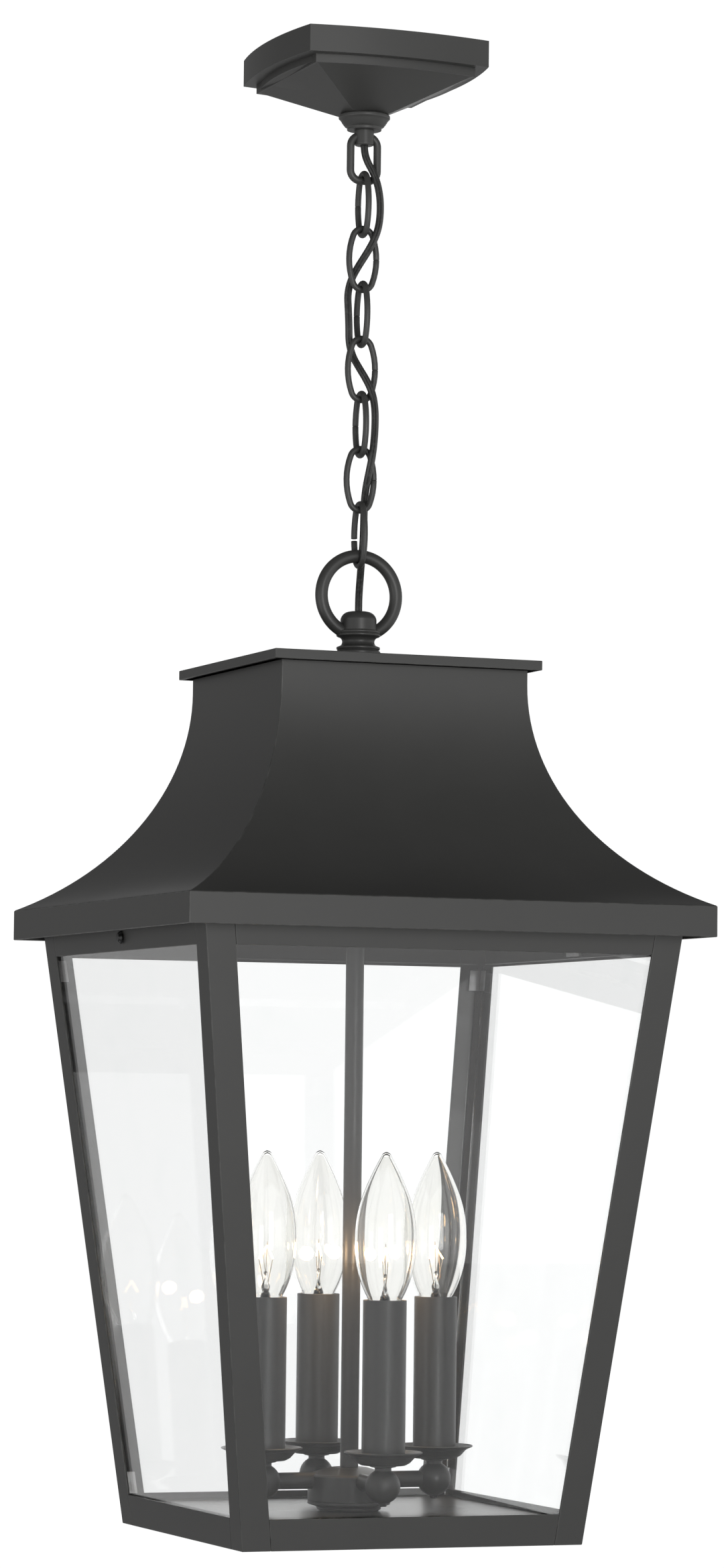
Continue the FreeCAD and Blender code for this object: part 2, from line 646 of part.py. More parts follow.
def make_ring_and_neck():
    """Hanging ring whose ends are set into the turned neck on the cap."""
    ring = doc.addObject("Part::Torus", "top_ring")
    ring.Label = "top_ring"
    ring.setExpression("Radius1", bound("ring_radius"))
    ring.setExpression("Radius2", bound("ring_wire / 2"))
    ring.setExpression("Angle3", bound("360 - 2 * ring_end_angle"))
    ring.Radius1, ring.Radius2, ring.Angle3 = 21, 3.6, 334
    turn = size("ring_end_angle")
    ring.Placement = Placement(Vector(0, 0, size("ring_centre")),
                               Rotation(Vector(1, 0, 0), 90) * Rotation(Vector(0, 0, 1), turn - 90))
    ring.setExpression("Placement.Base.z", bound("ring_centre"))
    SUB_PARTS.append(ring)

    blank = new_body("neck_blank")
    bore = "pipe_radius + thread_gap"
    cord_bore = "cord_diameter / 2 + cord_gap"
    collar = "neck_collar_height"
    turned(blank, [
        (bore, "0"), ("neck_base_radius", "0"), ("neck_base_radius", "neck_base_height - 3.4"),
        ("neck_base_radius - 0.9", "neck_base_height - 2.6"),
        ("neck_base_radius - 0.3", "neck_base_height - 1.8"),
        ("neck_base_radius - 0.3", "neck_base_height - 0.8"),
        ("neck_waist_radius", "neck_base_height", "2.8", -1),
        ("neck_collar_radius - 0.8", collar), ("neck_collar_radius", collar + " + 0.5"),
        ("neck_collar_radius", collar + " + 1.4"), ("neck_collar_radius - 0.8", collar + " + 1.8"),
        ("neck_collar_radius - 0.2", collar + " + 2.3"),
        ("neck_collar_radius - 0.2", collar + " + 3.2"), ("neck_dome_radius", collar + " + 3.8"),
        ("neck_dome_radius", "neck_height - 4.6", "5.5", 1),
        ("cord_diameter / 2 + cord_gap + 2.2", "neck_height"), (cord_bore, "neck_height"),
        (cord_bore, "neck_base_height + 0.6"), (bore, "neck_base_height + 0.6")])
    blank.Placement = Placement(Vector(0, 0, size("cap_top")), Rotation())
    blank.setExpression("Placement.Base.z", bound("cap_top"))
    neck = doc.addObject("Part::Cut", "ring_neck")
    neck.Label = "ring_neck"
    neck.Base, neck.Tool = blank, ring
    SUB_PARTS.append(neck)


def make_cap():
    """Flat square cap, pressed like a shallow lid."""
    body = new_body("cap_plate")
    half, inner = "cap_width / 2", "cap_width / 2 - sheet"
    top = outline(new_sketch(body, "cap_square", "XY_Plane", "cap_over_base"),
                  box_outline("-" + half, half, "-" + half, half))
    pad(body, top, "cap_height", reversed_way=True)
    doc.recompute()
    low_inner = "-cap_width / 2 + sheet"
    under = outline(new_sketch(body, "cap_hollow", "XY_Plane", "cap_over_base - cap_height"),
                    box_outline(low_inner, inner, low_inner, inner))
    pad(body, under, "cap_height - sheet", reversed_way=True, cut=True)
    bore = disc(new_sketch(body, "cap_bore", "XY_Plane", "cap_over_base"), "pipe_radius + thread_gap")
    pad(body, bore, "cap_height", cut=True)
    return place(body, "base_level")


def roof_solid(name, inset, bottom):
    """A solid with the roof's swept profile on all four sides, inset by a sheet thickness."""
    top_half = "roof_top_half - %s" % inset
    eave = "eave_half - %s" % inset
    curve = "roof_arc + %s" % inset
    fascia = "inner_fascia_top" if inset != "0" else "fascia_top"
    top = "roof_top - %s" % inset
    corners = [("-(%s)" % top_half, top), ("-(%s)" % top_half, "arc_top", curve, -1),
               ("-(%s)" % eave, fascia), ("-(%s)" % eave, bottom), (eave, bottom),
               (eave, fascia, curve, -1), (top_half, "arc_top"), (top_half, top)]
    ways = []
    for axis, turn in (("x", Rotation(Vector(1, 0, 0), 90)),
                       ("y", Rotation(Vector(0, 0, 1), 90) * Rotation(Vector(1, 0, 0), 90))):
        sketch = doc.addObject("Sketcher::SketchObject", "%s_profile_%s" % (name, axis))
        sketch.Placement = Placement(Vector(), turn)
        outline(sketch, corners)
        extrusion = doc.addObject("Part::Extrusion", "%s_along_%s" % (name, axis))
        extrusion.Base = sketch
        extrusion.DirMode = "Normal"
        extrusion.Symmetric = True
        extrusion.Solid = True
        extrusion.LengthFwd = size("eave_width") + 2
        extrusion.setExpression("LengthFwd", bound("eave_width + 2"))
        ways.append(extrusion)
    solid = doc.addObject("Part::MultiCommon", name)
    solid.Shapes = ways
    return solid


def make_roof():
    """Swept sheet roof with a fascia, a turned-in soffit lip and a hole for the stem."""
    outer = roof_solid("roof_outer", "0", "eave_over_base")
    inner = roof_solid("roof_inner", "sheet", "frame_top + sheet")
    fascia_room = doc.addObject("Part::Box", "fascia_room")
    opening = doc.addObject("Part::Box", "soffit_opening")
    for item, half, low, high in (
            (fascia_room, "eave_half - sheet", "eave_over_base - 1", "frame_top"),
            (opening, "soffit_half", "eave_over_base - 1", "frame_top + sheet + 1")):
        for name, expression in (("Length", "2 * (%s)" % half), ("Width", "2 * (%s)" % half),
                                 ("Height", "%s - (%s)" % (high, low)),
                                 ("Placement.Base.x", "-(%s)" % half),
                                 ("Placement.Base.y", "-(%s)" % half), ("Placement.Base.z", low)):
            item.setExpression(name, bound(expression))
    bore = doc.addObject("Part::Cylinder", "roof_bore")
    bore.setExpression("Radius", bound("pipe_radius + thread_gap"))
    bore.setExpression("Height", bound("cap_height + sheet"))
    bore.setExpression("Placement.Base.z", bound("roof_top - cap_height"))
    hollow = doc.addObject("Part::MultiFuse", "roof_hollow")
    hollow.Shapes = [inner, fascia_room, opening, bore]
    roof = doc.addObject("Part::Cut", "roof_shell")
    roof.Label = "roof_shell"
    roof.Base, roof.Tool = outer, hollow
    return place(roof, "base_level")


# --------------------------------------------------------------------------------------------
# Tapered glazed body
# --------------------------------------------------------------------------------------------

SIDES = {"front": 0, "right": 90, "back": 180, "left": 270}
CORNERS = {"front_left": 0, "front_right": 90, "back_right": 180, "back_left": 270}


def angle_section(half):
    """Level section of a corner post: an angle whose corner points to -X -Y."""
    out = "-(%s)" % half
    leg, inside = "%s + leg_width" % out, "%s + leg_thick" % out
    return [(out, out), (leg, out), (leg, inside), (inside, inside), (inside, leg), (out, leg)]


def make_post(corner, turn):
    """Folded angle post that leans out with the body's taper."""
    body = new_body("post_" + corner)
    tapered(body, "post_" + corner, angle_section("base_half"), "0",
            angle_section("frame_top_half"), "frame_top")
    return place(body, "base_level", turn=turn)


def rail_section(half):
    """Level section of a rail's web between two posts, on the front."""
    reach = "%s - leg_width" % half
    out = "-(%s)" % half
    return box_outline("-(%s)" % reach, reach, out, "%s + leg_thick" % out)


def make_base_rail(side, turn):
    """Bottom rail between two posts, with an inward flange that carries the base plate."""
    body = new_body("base_rail_" + side)
    name = "base_rail_" + side
    tapered(body, name, rail_section("base_half"), "0", rail_section("base_rail_half"),
            "base_rail_height")
    reach = "flange_base_half - leg_width"
    flange = outline(new_sketch(body, name + "_flange", "XY_Plane", "flange_bottom"),
                     box_outline("-(%s)" % reach, reach, "-flange_base_half + leg_thick / 2",
                                 "-flange_base_half + rail_flange"))
    pad(body, flange, "leg_thick")
    return place(body, "base_level", turn=turn)


def make_top_rail(side, turn):
    """Top rail between two posts, half hidden by the fascia."""
    body = new_body("top_rail_" + side)
    tapered(body, "top_rail_" + side, rail_section("top_rail_half"), "top_rail_bottom",
            rail_section("frame_top_half"), "frame_top")
    if side in ("left", "right"):
        doc.recompute()
        hole = disc(new_sketch(body, "rail_hole_" + side, "XZ_Plane", "0"), "screw_radius + 0.2",
                    "0", "rail_screw_height")
        feature = pad(body, hole, "frame_top_half + 1", cut=True)
        feature.Reversed = True
    return place(body, "base_level", turn=turn)


def make_base_plate():
    """Closed base plate that lies on the rails' flanges."""
    body = new_body("base_plate")
    plate = outline(new_sketch(body, "plate", "XY_Plane", "plate_bottom"),
                    box_outline("-plate_half", "plate_half", "-plate_half", "plate_half"))
    pad(body, plate, "sheet")
    return place(body, "base_level")


def pane_section(half):
    """Level section of a pane behind the front posts."""
    reach = "%s - pane_trim" % half
    return box_outline("-(%s)" % reach, reach, "-(%s) + glass_out" % half, "-(%s) + glass_in" % half)


def make_pane(side, turn):
    """Clear glass pane that leans out with the body's taper."""
    body = new_body("glass_" + side)
    tapered(body, "glass_" + side, pane_section("glass_bottom_half"), "glass_bottom",
            pane_section("glass_top_half"), "glass_top")
    return place(body, "base_level", turn=turn)


def clip_section(half):
    """Level section of a bent clip that holds both panes at a front-left corner."""
    out = "-(%s)" % half
    near = "%s + leg_thick" % out
    near_in = near + " + clip_sheet"
    over = "%s + glass_in + 0.1" % out
    over_in = over + " + clip_sheet"
    step = "%s + pane_trim - 0.4" % out
    step_in = step + " - clip_sheet"
    tip = "%s + pane_trim + clip_reach" % out
    return [(near, near), (step, near), (step, over), (tip, over), (tip, over_in),
            (step_in, over_in), (step_in, near_in), (near_in, near_in), (near_in, step_in),
            (over_in, step_in), (over_in, tip), (over, tip), (over, step), (near, step)]


def make_clips():
    """Eight bent glass clips, one at the bottom and one at the top of each post."""
    clips = []
    for place_name, low in (("low", "glass_bottom + 4"), ("high", "glass_top - 4 - clip_height")):
        for corner, turn in CORNERS.items():
            name = "clip_%s_%s" % (place_name, corner)
            body = new_body(name)
            high = "%s + clip_height" % low
            tapered(body, name, clip_section("base_half + flare * (%s)" % low), low,
                    clip_section("base_half + flare * (%s)" % high), high)
            body.Placement = Placement(Vector(), Rotation(Vector(0, 0, 1), turn))
            clips.append(body)
    return place(group("glass_clips", clips), "base_level")


def make_crossbar():
    """Bar across the frame's top, bent down at both ends and held on the stem by its nuts."""
    body = new_body("crossbar")
    width = "crossbar_width / 2"
    bar = outline(new_sketch(body, "bar", "XZ_Plane"), [
        ("-crossbar_half", "tab_bottom"), ("-crossbar_half + crossbar_thick", "tab_bottom"),
        ("-crossbar_half + crossbar_thick", "crossbar_bottom"),
        ("crossbar_half - crossbar_thick", "crossbar_bottom"),
        ("crossbar_half - crossbar_thick", "tab_bottom"), ("crossbar_half", "tab_bottom"),
        ("crossbar_half", "crossbar_top"), ("-crossbar_half", "crossbar_top")])
    feature = pad(body, bar, "2 * " + width)
    feature.Midplane = True
    doc.recompute()
    bore = disc(new_sketch(body, "bar_bore", "XY_Plane", "crossbar_top"), "pipe_radius + thread_gap")
    pad(body, bore, "crossbar_thick", cut=True)
    screw_hole = disc(new_sketch(body, "bar_screw_holes", "YZ_Plane"), "screw_radius + 0.2", "0",
                      "rail_screw_height")
    through = pad(body, screw_hole, "2 * crossbar_half + 2", cut=True)
    through.Midplane = True
    return place(body, "base_level")


def make_crossbar_screws():
    """The two screws through the side rails into the crossbar's ends."""
    shank = "screw_seat - crossbar_half + crossbar_thick"
    screws = [
        button_screw("screw_left", "-screw_seat", "0", "rail_screw_height", "+X", shank),
        button_screw("screw_right", "screw_seat", "0", "rail_screw_height", "-X", shank)]
    return place(group("crossbar_screws", screws), "base_level")


# --------------------------------------------------------------------------------------------
# Stem and lamp cluster
# --------------------------------------------------------------------------------------------

def make_stem():
    """Stem tube from the neck down to the cluster, with its nuts."""
    body = new_body("stem_tube")
    turned(body, ring_outline("pipe_bore", "pipe_radius", "stem_bottom", "stem_top"))
    place(body, "base_level")
    levels = {"roof": "roof_sheet_bottom - nut_height", "bar_upper": "crossbar_top",
              "bar_lower": "crossbar_bottom - nut_height", "hub": "hub_disc_top - hub_wall - nut_height"}
    nuts = [hex_nut("nut_" + name, level) for name, level in levels.items()]
    return place(group("stem_nuts", nuts), "base_level")


def make_cluster():
    """Round cluster body that the four arms leave, with the cap that closes it below."""
    body = new_body("cluster_hub")
    radius, wall = "hub_disc_radius", "hub_wall"
    bore = "pipe_radius + thread_gap"
    turned(body, [
        ("%s - %s" % (radius, wall), "hub_disc_bottom"), (radius, "hub_disc_bottom"),
        (radius, "hub_disc_top - 4.5"), (radius + " - 1", "hub_disc_top - 3.4"),
        (radius + " - 5", "hub_disc_top - 2.2"), ("pipe_radius + 5", "hub_disc_top"),
        (bore, "hub_disc_top"), (bore, "hub_disc_top - hub_wall"),
        ("pipe_radius + 5", "hub_disc_top - hub_wall"),
        ("%s - 5 - %s" % (radius, wall), "hub_disc_top - hub_wall - 2.2"),
        ("%s - %s" % (radius, wall), "hub_disc_top - hub_wall - 4.5")])
    doc.recompute()
    for plane, name in (("XZ_Plane", "y"), ("YZ_Plane", "x")):
        hole = disc(new_sketch(body, "arm_holes_" + name, plane), "arm_radius", "0", "arm_height")
        through = pad(body, hole, "2 * %s + 2" % radius, cut=True)
        through.Midplane = True
    place(body, "base_level")
    cap = new_body("hub_cap")
    turned(cap, [
        ("0", "plate_top"), ("hub_disc_radius - 7", "plate_top"),
        ("hub_disc_radius - 5", "plate_top + 1.2"), ("hub_disc_radius - 5", "plate_top + 2.4"),
        (radius, "hub_disc_bottom - 1.6"), (radius, "hub_disc_bottom"), ("0", "hub_disc_bottom")])
    place(cap, "base_level")


def each_candle(label, build):
    """Four separate solids of one kind, one on each arm of the cluster."""
    solids = []
    for number, turn in enumerate((270, 0, 90, 180), start=1):
        solid = build("%s_%d" % (label, number))
        arm = Rotation(Vector(0, 0, 1), turn)
        radius = size("candle_circle")
        solid.Placement = Placement(arm.multVec(Vector(radius, 0, 0)), arm)
        ways = {270: ("y", "-"), 0: ("x", ""), 90: ("y", ""), 180: ("x", "-")}
        axis, sign = ways[turn]
        solid.setExpression("Placement.Base." + axis, bound(sign + "candle_circle"))
        solids.append(solid)
    return place(group(label, solids), "base_level")


def build_arm(name):
    """One arm: a tube from inside the cluster body into the ball, drawn from the ball's middle."""
    body = new_body(name)
    start, end = "arm_start - candle_circle", "arm_end - candle_circle"
    section = disc(new_sketch(body, name + "_section", "YZ_Plane", start), "arm_radius", "0",
                   "arm_height")
    pad(body, section, "%s - (%s)" % (end, start))
    doc.recompute()
    bore = disc(new_sketch(body, name + "_bore", "YZ_Plane", start), "arm_radius - 1", "0",
                "arm_height")
    pad(body, bore, "%s - (%s)" % (end, start), cut=True, reversed_way=True)
    return body


def build_ball(name):
    """One candle ball with its short neck, socketed for the arm."""
    body = new_body(name)
    ball, neck = "ball_radius", "ball_neck_radius"
    low, high = "arm_height - ball_radius", "pan_base_height"
    meet = "arm_height + sqrt(ball_radius ^ 2 - ball_neck_radius ^ 2)"
    button = "2.2"
    dip = "arm_height - sqrt(ball_radius ^ 2 - 2.2 ^ 2)"
    turned(body, [
        ("0", low + " - 1.4"), (button, low + " - 1.4"), (button, dip, ball, 1),
        (ball, "arm_height", ball, 1), (neck, meet), (neck, high + " - 1.4"),
        (neck + " + 2.6", high + " - 0.9"), (neck + " + 2.6", high), ("0", high)])
    doc.recompute()
    socket = disc(new_sketch(body, name + "_socket", "YZ_Plane", "-ball_radius - 1"), "arm_radius",
                  "0", "arm_height")
    pad(body, socket, "arm_end - candle_circle + ball_radius + 1", cut=True, reversed_way=True)
    return body


def build_pan(name):
    """One flared drip pan under a candle."""
    body = new_body(name)
    base, rim = "pan_base_height", "pan_rim_height"
    turned(body, [
        ("0", base), ("pan_base_radius - 1", base), ("pan_base_radius + 1.6", base + " + 1.4"),
        ("pan_rim_radius - 3.5", rim + " - 2.2"), ("pan_rim_radius", rim + " - 0.6"),
        ("pan_rim_radius + 0.2", rim), ("pan_rim_radius - 0.6", rim + " + 0.4"),
        ("pan_rim_radius - 4.1", rim + " - 1.2"),
        ("pan_base_radius + 0.8", base + " + 1.4 + pan_wall * 0.9"),
        ("pan_base_radius - 0.8", base + " + pan_wall"), ("0", base + " + pan_wall")])
    return body


def build_sleeve(name):
    """One candle sleeve, open at both ends."""
    body = new_body(name)
    turned(body, ring_outline("sleeve_radius - sleeve_wall", "sleeve_radius", "sleeve_bottom",
                              "sleeve_top"))
    return body


def build_socket(name):
    """One candelabra socket on its stud inside the sleeve, bored for the lamp's screw base."""
    body = new_body(name)
    bore = "lamp_base_radius + lamp_base_gap"
    stud = "pipe_radius"
    deep = "socket_top - lamp_base_length - 1"
    turned(body, [
        ("0", "sleeve_bottom"), (stud, "sleeve_bottom"), (stud, "socket_bottom - 6"),
        ("socket_radius - 1.5", "socket_bottom"), ("socket_radius", "socket_bottom + 1.5"),
        ("socket_radius", "socket_top"), (bore, "socket_top"), (bore, deep), ("0", deep)])
    return body


def build_lamp_base(name):
    """One candelabra screw base with its contact button."""
    body = new_body(name)
    radius = "lamp_base_radius"
    low = "bulb_bottom - lamp_base_length"
    turned(body, [
        ("0", low), ("2", low), ("2.4", low + " + 1.2"), (radius + " - 1.6", low + " + 3"),
        (radius, low + " + 4.6"), (radius, "bulb_bottom"), ("0", "bulb_bottom")])
    return body


def build_bulb(name):
    """One torpedo bulb, a closed thin-walled glass shell on its base."""
    body = new_body(name)
    wide, neck, wall = "bulb_radius", "bulb_neck_radius", "bulb_glass"
    low, belly, tip = "bulb_bottom", "bulb_widest", "bulb_tip"
    shoulder = "bulb_widest + bulb_length * 0.3"
    turned(body, [
        ("0", low), (neck + " - 1", low), (neck, low + " + 1.2", "bulb_length * 0.78", 1),
        (wide, belly, "bulb_length * 0.82", 1), (wide + " * 0.735", shoulder, "bulb_length * 1.9", 1),
        ("2.6", tip + " - 1.9"), ("1.5", tip + " - 0.6"), ("0", tip)])
    turned(body, [
        ("0", low + " + " + wall), (neck + " - 1", low + " + " + wall),
        (neck + " - " + wall, low + " + 2", "bulb_length * 0.78", 1),
        (wide + " - " + wall, belly, "bulb_length * 0.82", 1),
        (wide + " * 0.735 - " + wall, shoulder, "bulb_length * 1.9", 1), ("1.8", tip + " - 3.4"),
        ("0", tip + " - 2.8")], "hollow", cut=True)
    return body


# --------------------------------------------------------------------------------------------
# Whole lantern
# --------------------------------------------------------------------------------------------

make_canopy()
make_strap()
make_ceiling_pipe()
place(group("strap_nut", [hex_nut("nut_strap", "-strap_thick - nut_height")]))
place(group("ground_screw", [button_screw("earth_screw", "earth_screw_place", "0",
                                          "-strap_thick", "+Z", "strap_thick - 0.3")]))
make_collar()
make_canopy_loop()
for link_index in range(LINK_COUNT):
    make_link(link_index)
make_cord()
make_ring_and_neck()
make_cap()
make_roof()
for corner_name, quarter in CORNERS.items():
    make_post(corner_name, quarter)
for side_name, quarter in SIDES.items():
    make_base_rail(side_name, quarter)
    make_top_rail(side_name, quarter)
    make_pane(side_name, quarter)
make_base_plate()
make_clips()
make_crossbar()
make_crossbar_screws()
make_stem()
make_cluster()
each_candle("cluster_arms", build_arm)
each_candle("candle_balls", build_ball)
each_candle("drip_pans", build_pan)
each_candle("candle_sleeves", build_sleeve)
each_candle("lamp_sockets", build_socket)
each_candle("lamp_bases", build_lamp_base)
each_candle("bulbs", build_bulb)
doc.recompute()

faults = [item.Label for item in doc.Objects if {"Invalid", "Error"} & set(item.State)]
faults += [item.Label for item in SUB_PARTS if item.Shape.isNull() or not item.Shape.isValid()]
if faults:
    raise RuntimeError("failed: " + ", ".join(faults))

os.makedirs("parts", exist_ok=True)
for item in SUB_PARTS:
    item.Shape.exportStep("parts/%s.step" % item.Label)
    print("%-20s %2d solids %10.1f mm3" % (item.Label, len(item.Shape.Solids), item.Shape.Volume))
print("%d sub-parts" % len(SUB_PARTS))
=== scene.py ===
"""The visual model of a hanging four-light lantern.

From the top down it is a square ceiling canopy, a chain of seven links with the supply cord woven
through it, a swept sheet roof under a flat cap, and a tapered glass body round four candle lamps.
The origin is the middle of the ceiling plane and everything hangs at negative Z. Lengths are in
millimetres, and a finished piece is turned into metres. Only the cord and the studio are in metres
from the start.
"""

import json
import logging
import math
from dataclasses import dataclass
from enum import Enum
from functools import cache
from typing import Callable, Iterable, Optional, Sequence, Union

import bmesh
import bpy
from mathutils import Matrix, Vector

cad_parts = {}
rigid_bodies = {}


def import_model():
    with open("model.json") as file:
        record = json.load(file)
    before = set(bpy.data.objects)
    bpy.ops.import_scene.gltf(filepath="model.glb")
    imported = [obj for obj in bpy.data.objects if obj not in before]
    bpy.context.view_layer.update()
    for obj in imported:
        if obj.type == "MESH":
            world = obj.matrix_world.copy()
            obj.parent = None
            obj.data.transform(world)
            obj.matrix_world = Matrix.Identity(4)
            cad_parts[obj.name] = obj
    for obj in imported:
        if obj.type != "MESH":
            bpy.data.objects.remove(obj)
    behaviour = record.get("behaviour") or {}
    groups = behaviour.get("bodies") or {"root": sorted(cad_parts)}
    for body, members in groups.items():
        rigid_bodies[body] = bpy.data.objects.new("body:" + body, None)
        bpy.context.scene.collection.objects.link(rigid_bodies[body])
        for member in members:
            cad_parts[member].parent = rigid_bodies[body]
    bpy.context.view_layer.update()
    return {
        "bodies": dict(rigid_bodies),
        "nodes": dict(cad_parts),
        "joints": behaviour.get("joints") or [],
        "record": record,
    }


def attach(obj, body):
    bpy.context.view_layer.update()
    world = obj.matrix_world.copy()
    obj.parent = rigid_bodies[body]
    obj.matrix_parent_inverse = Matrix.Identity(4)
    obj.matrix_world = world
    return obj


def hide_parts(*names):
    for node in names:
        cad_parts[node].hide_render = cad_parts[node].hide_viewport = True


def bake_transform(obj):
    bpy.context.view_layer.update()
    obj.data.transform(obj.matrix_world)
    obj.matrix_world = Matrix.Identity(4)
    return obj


LOG = logging.getLogger("lantern")
MM = 0.001
BASE_LEVEL = -835.6
# Mask of the rounded edges, where the paint is lighter: partly edge wear, partly a painted edge highlight.
EDGE_LAYER = "highlight_and_wear_edge"

Point = tuple[float, float]
Spot = Sequence[float]
Colour = tuple[float, float, float, float]
Object = bpy.types.Object
Material = bpy.types.Material
Form = bmesh.types.BMesh
Edge = bmesh.types.BMEdge
Vert = bmesh.types.BMVert


class Slot(Enum):
    """The record's material slots."""

    PAINT = "dark_paint"
    CORD = "cord_jacket"
    ZINC = "zinc_steel"
    EARTH = "green_screw"
    PANE = "pane_glass"
    BULB = "bulb_glass"
    BRASS = "brass_base"
    SOCKET = "socket_plastic"


class Side(Enum):
    """The four sides of the body, each with its turn about Z in degrees from the front."""

    FRONT = 0
    RIGHT = 90
    BACK = 180
    LEFT = 270


class Corner(Enum):
    """The four corners of the body, each with its turn about Z from the front left one."""

    FRONT_LEFT = 0
    FRONT_RIGHT = 90
    BACK_RIGHT = 180
    BACK_LEFT = 270


def arithmetic(operation: str, flipped: bool = False) -> Callable:
    """An operator of Signal that adds a Math node, with its sides flipped for a reflected form."""

    def apply(self: "Signal", other: "Operand") -> "Signal":
        """Add the node."""
        sides = (other, self) if flipped else (self, other)
        return self.graph.node("ShaderNodeMath", {"operation": operation}, dict(enumerate(sides)))

    return apply


class Signal:
    """A shader output that takes part in Python arithmetic."""

    def __init__(self, graph: "Graph", socket: bpy.types.NodeSocket) -> None:
        """Wrap one output socket of a graph's node."""
        self.graph, self.socket = graph, socket

    __add__ = __radd__ = arithmetic("ADD")
    __mul__ = __rmul__ = arithmetic("MULTIPLY")
    __sub__ = arithmetic("SUBTRACT")
    __rsub__ = arithmetic("SUBTRACT", flipped=True)

    def ramp(self, low: float, high: float, start: "Operand" = 0.0, end: float = 1.0) -> "Signal":
        """Go smoothly from start to end while this value goes from low to high."""
        return self.graph.node("ShaderNodeMapRange", {"interpolation_type": "SMOOTHSTEP"},
                               {"Value": self, "From Min": low, "From Max": high,
                                "To Min": start, "To Max": end})


Operand = Union[Signal, float]


class Graph:
    """The node tree of one material or world."""

    def __init__(self, owner: Union[Material, bpy.types.World]) -> None:
        """Start with an empty tree."""
        owner.use_nodes = True
        self.tree = owner.node_tree
        self.tree.nodes.clear()

    def node(self, kind: str, settings: Optional[dict] = None, inputs: Optional[dict] = None,
             output: Union[int, str] = 0) -> Signal:
        """Add a node.

        Args:
            kind: the node's type.
            settings: properties of the node, set first.
            inputs: values or links of its sockets, by name or number.
            output: the output to hand back, by name or number.

        Returns:
            The chosen output.
        """
        made = self.tree.nodes.new(kind)
        for name, value in (settings or {}).items():
            setattr(made, name, value)
        for key, value in (inputs or {}).items():
            if isinstance(value, Signal):
                self.tree.links.new(value.socket, made.inputs[key])
            else:
                made.inputs[key].default_value = value
        return Signal(self, made.outputs[output])

    def close(self, kind: str, shader: Signal) -> None:
        """Link a shader to an output node of the given type."""
        self.tree.links.new(shader.socket, self.tree.nodes.new(kind).inputs["Surface"])

    def place(self) -> Signal:
        """Object coordinates, in metres."""
        return self.node("ShaderNodeTexCoord", output="Object")

    def edge_wear_and_highlight(self) -> Signal:
        """1 on the rounded edges of a new piece and 0 elsewhere: the mask of edge wear and of a painted
        edge highlight.
        """
        return self.node("ShaderNodeAttribute", {"attribute_name": EDGE_LAYER}, output="Fac")

    def noise(self, grain_mm: float, detail: float = 2.0, stretch: Spot = (1, 1, 1)) -> Signal:
        """Noise from 0 to 1.

        Args:
            grain_mm: size of one grain.
            detail: octaves of finer noise.
            stretch: scale of the pattern along X, Y and Z.

        Returns:
            The noise.
        """
        spot = self.node("ShaderNodeMapping", {"vector_type": "POINT"},
                         {"Vector": self.place(), "Scale": tuple(stretch)})
        return self.node("ShaderNodeTexNoise", None,
                         {"Vector": spot, "Scale": 1.0 / (grain_mm * MM), "Detail": detail})

    def blend(self, factor: Operand, low: Union[Signal, Colour], high: Colour) -> Signal:
        """Mix two colours."""
        return self.node("ShaderNodeMix", {"data_type": "RGBA"},
                         {"Factor": factor, 6: low, 7: high}, output=2)

    def relief(self, height: Signal, depth_mm: float, strength: float) -> Signal:
        """A bumped normal from a height that goes from 0 to 1 over the given depth."""
        return self.node("ShaderNodeBump", None,
                         {"Height": height, "Distance": depth_mm * MM, "Strength": strength})


@dataclass(frozen=True)
class Finish:
    """A procedural finish and the record's slot that it belongs to."""

    name: str
    slot: Slot = Slot.PAINT

    def inputs(self, graph: Graph) -> dict:
        """Values and links of the shader's sockets."""
        raise NotImplementedError

    def build(self) -> Material:
        """Make the material."""
        material = bpy.data.materials.new(self.name)
        graph = Graph(material)
        shader = graph.node("ShaderNodeBsdfPrincipled", None, self.inputs(graph))
        graph.close("ShaderNodeOutputMaterial", shader)
        return material


@dataclass(frozen=True)
class SatinPaint(Finish):
    """Charcoal powder coat: a fine orange peel, faint mottling and lighter, smoother edges, partly thinner
    paint and partly a painted highlight.
    """

    colour: Colour = (0.0385, 0.0385, 0.0370, 1.0)
    light: Colour = (0.0425, 0.0425, 0.0408, 1.0)
    # Lighter colour of the rounded edges: partly edge wear, partly a painted edge highlight.
    edge: Colour = (0.10, 0.10, 0.096, 1.0)
    roughness: float = 0.40
    spread: float = 0.035
    peel_mm: float = 1.1
    peel_depth_mm: float = 0.012

    def inputs(self, graph: Graph) -> dict:
        """Values and links of the shader's sockets."""
        cloudy = graph.noise(46.0, 3.0)
        speckle = graph.noise(0.55, 1.0)
        # Rounded edges painted lighter and less rough: partly wear, partly a painted edge highlight.
        edge_wear_and_highlight = graph.edge_wear_and_highlight() * graph.noise(7.0).ramp(0.25, 0.75)
        base = graph.blend(cloudy.ramp(0.3, 0.7) * 0.7 + speckle * 0.3, self.colour, self.light)
        peel = graph.noise(self.peel_mm) * 0.75 + speckle * 0.25
        return {"Base Color": graph.blend(edge_wear_and_highlight * 0.55, base, self.edge),
                "Roughness": cloudy * self.spread + (self.roughness - self.spread / 2)
                             + speckle * 0.05 - edge_wear_and_highlight * 0.06,
                "Specular IOR Level": 0.42,
                "Normal": graph.relief(peel, self.peel_depth_mm, 0.55)}


@dataclass(frozen=True)
class ZincSteel(Finish):
    """Bright plated metal with a rolled grain and dull patches."""

    colour: Colour = (0.56, 0.56, 0.57, 1.0)
    dull: Colour = (0.42, 0.42, 0.41, 1.0)

    def inputs(self, graph: Graph) -> dict:
        """Values and links of the shader's sockets."""
        rolled = graph.noise(1.2, 3.0, (0.06, 1.0, 1.0))
        patches = graph.noise(9.0, 4.0).ramp(0.4, 0.75)
        return {"Base Color": graph.blend(patches, self.colour, self.dull),
                "Metallic": 1.0,
                "Roughness": patches * 0.18 + rolled * 0.12 + 0.24,
                "Normal": graph.relief(rolled, 0.02, 0.4)}


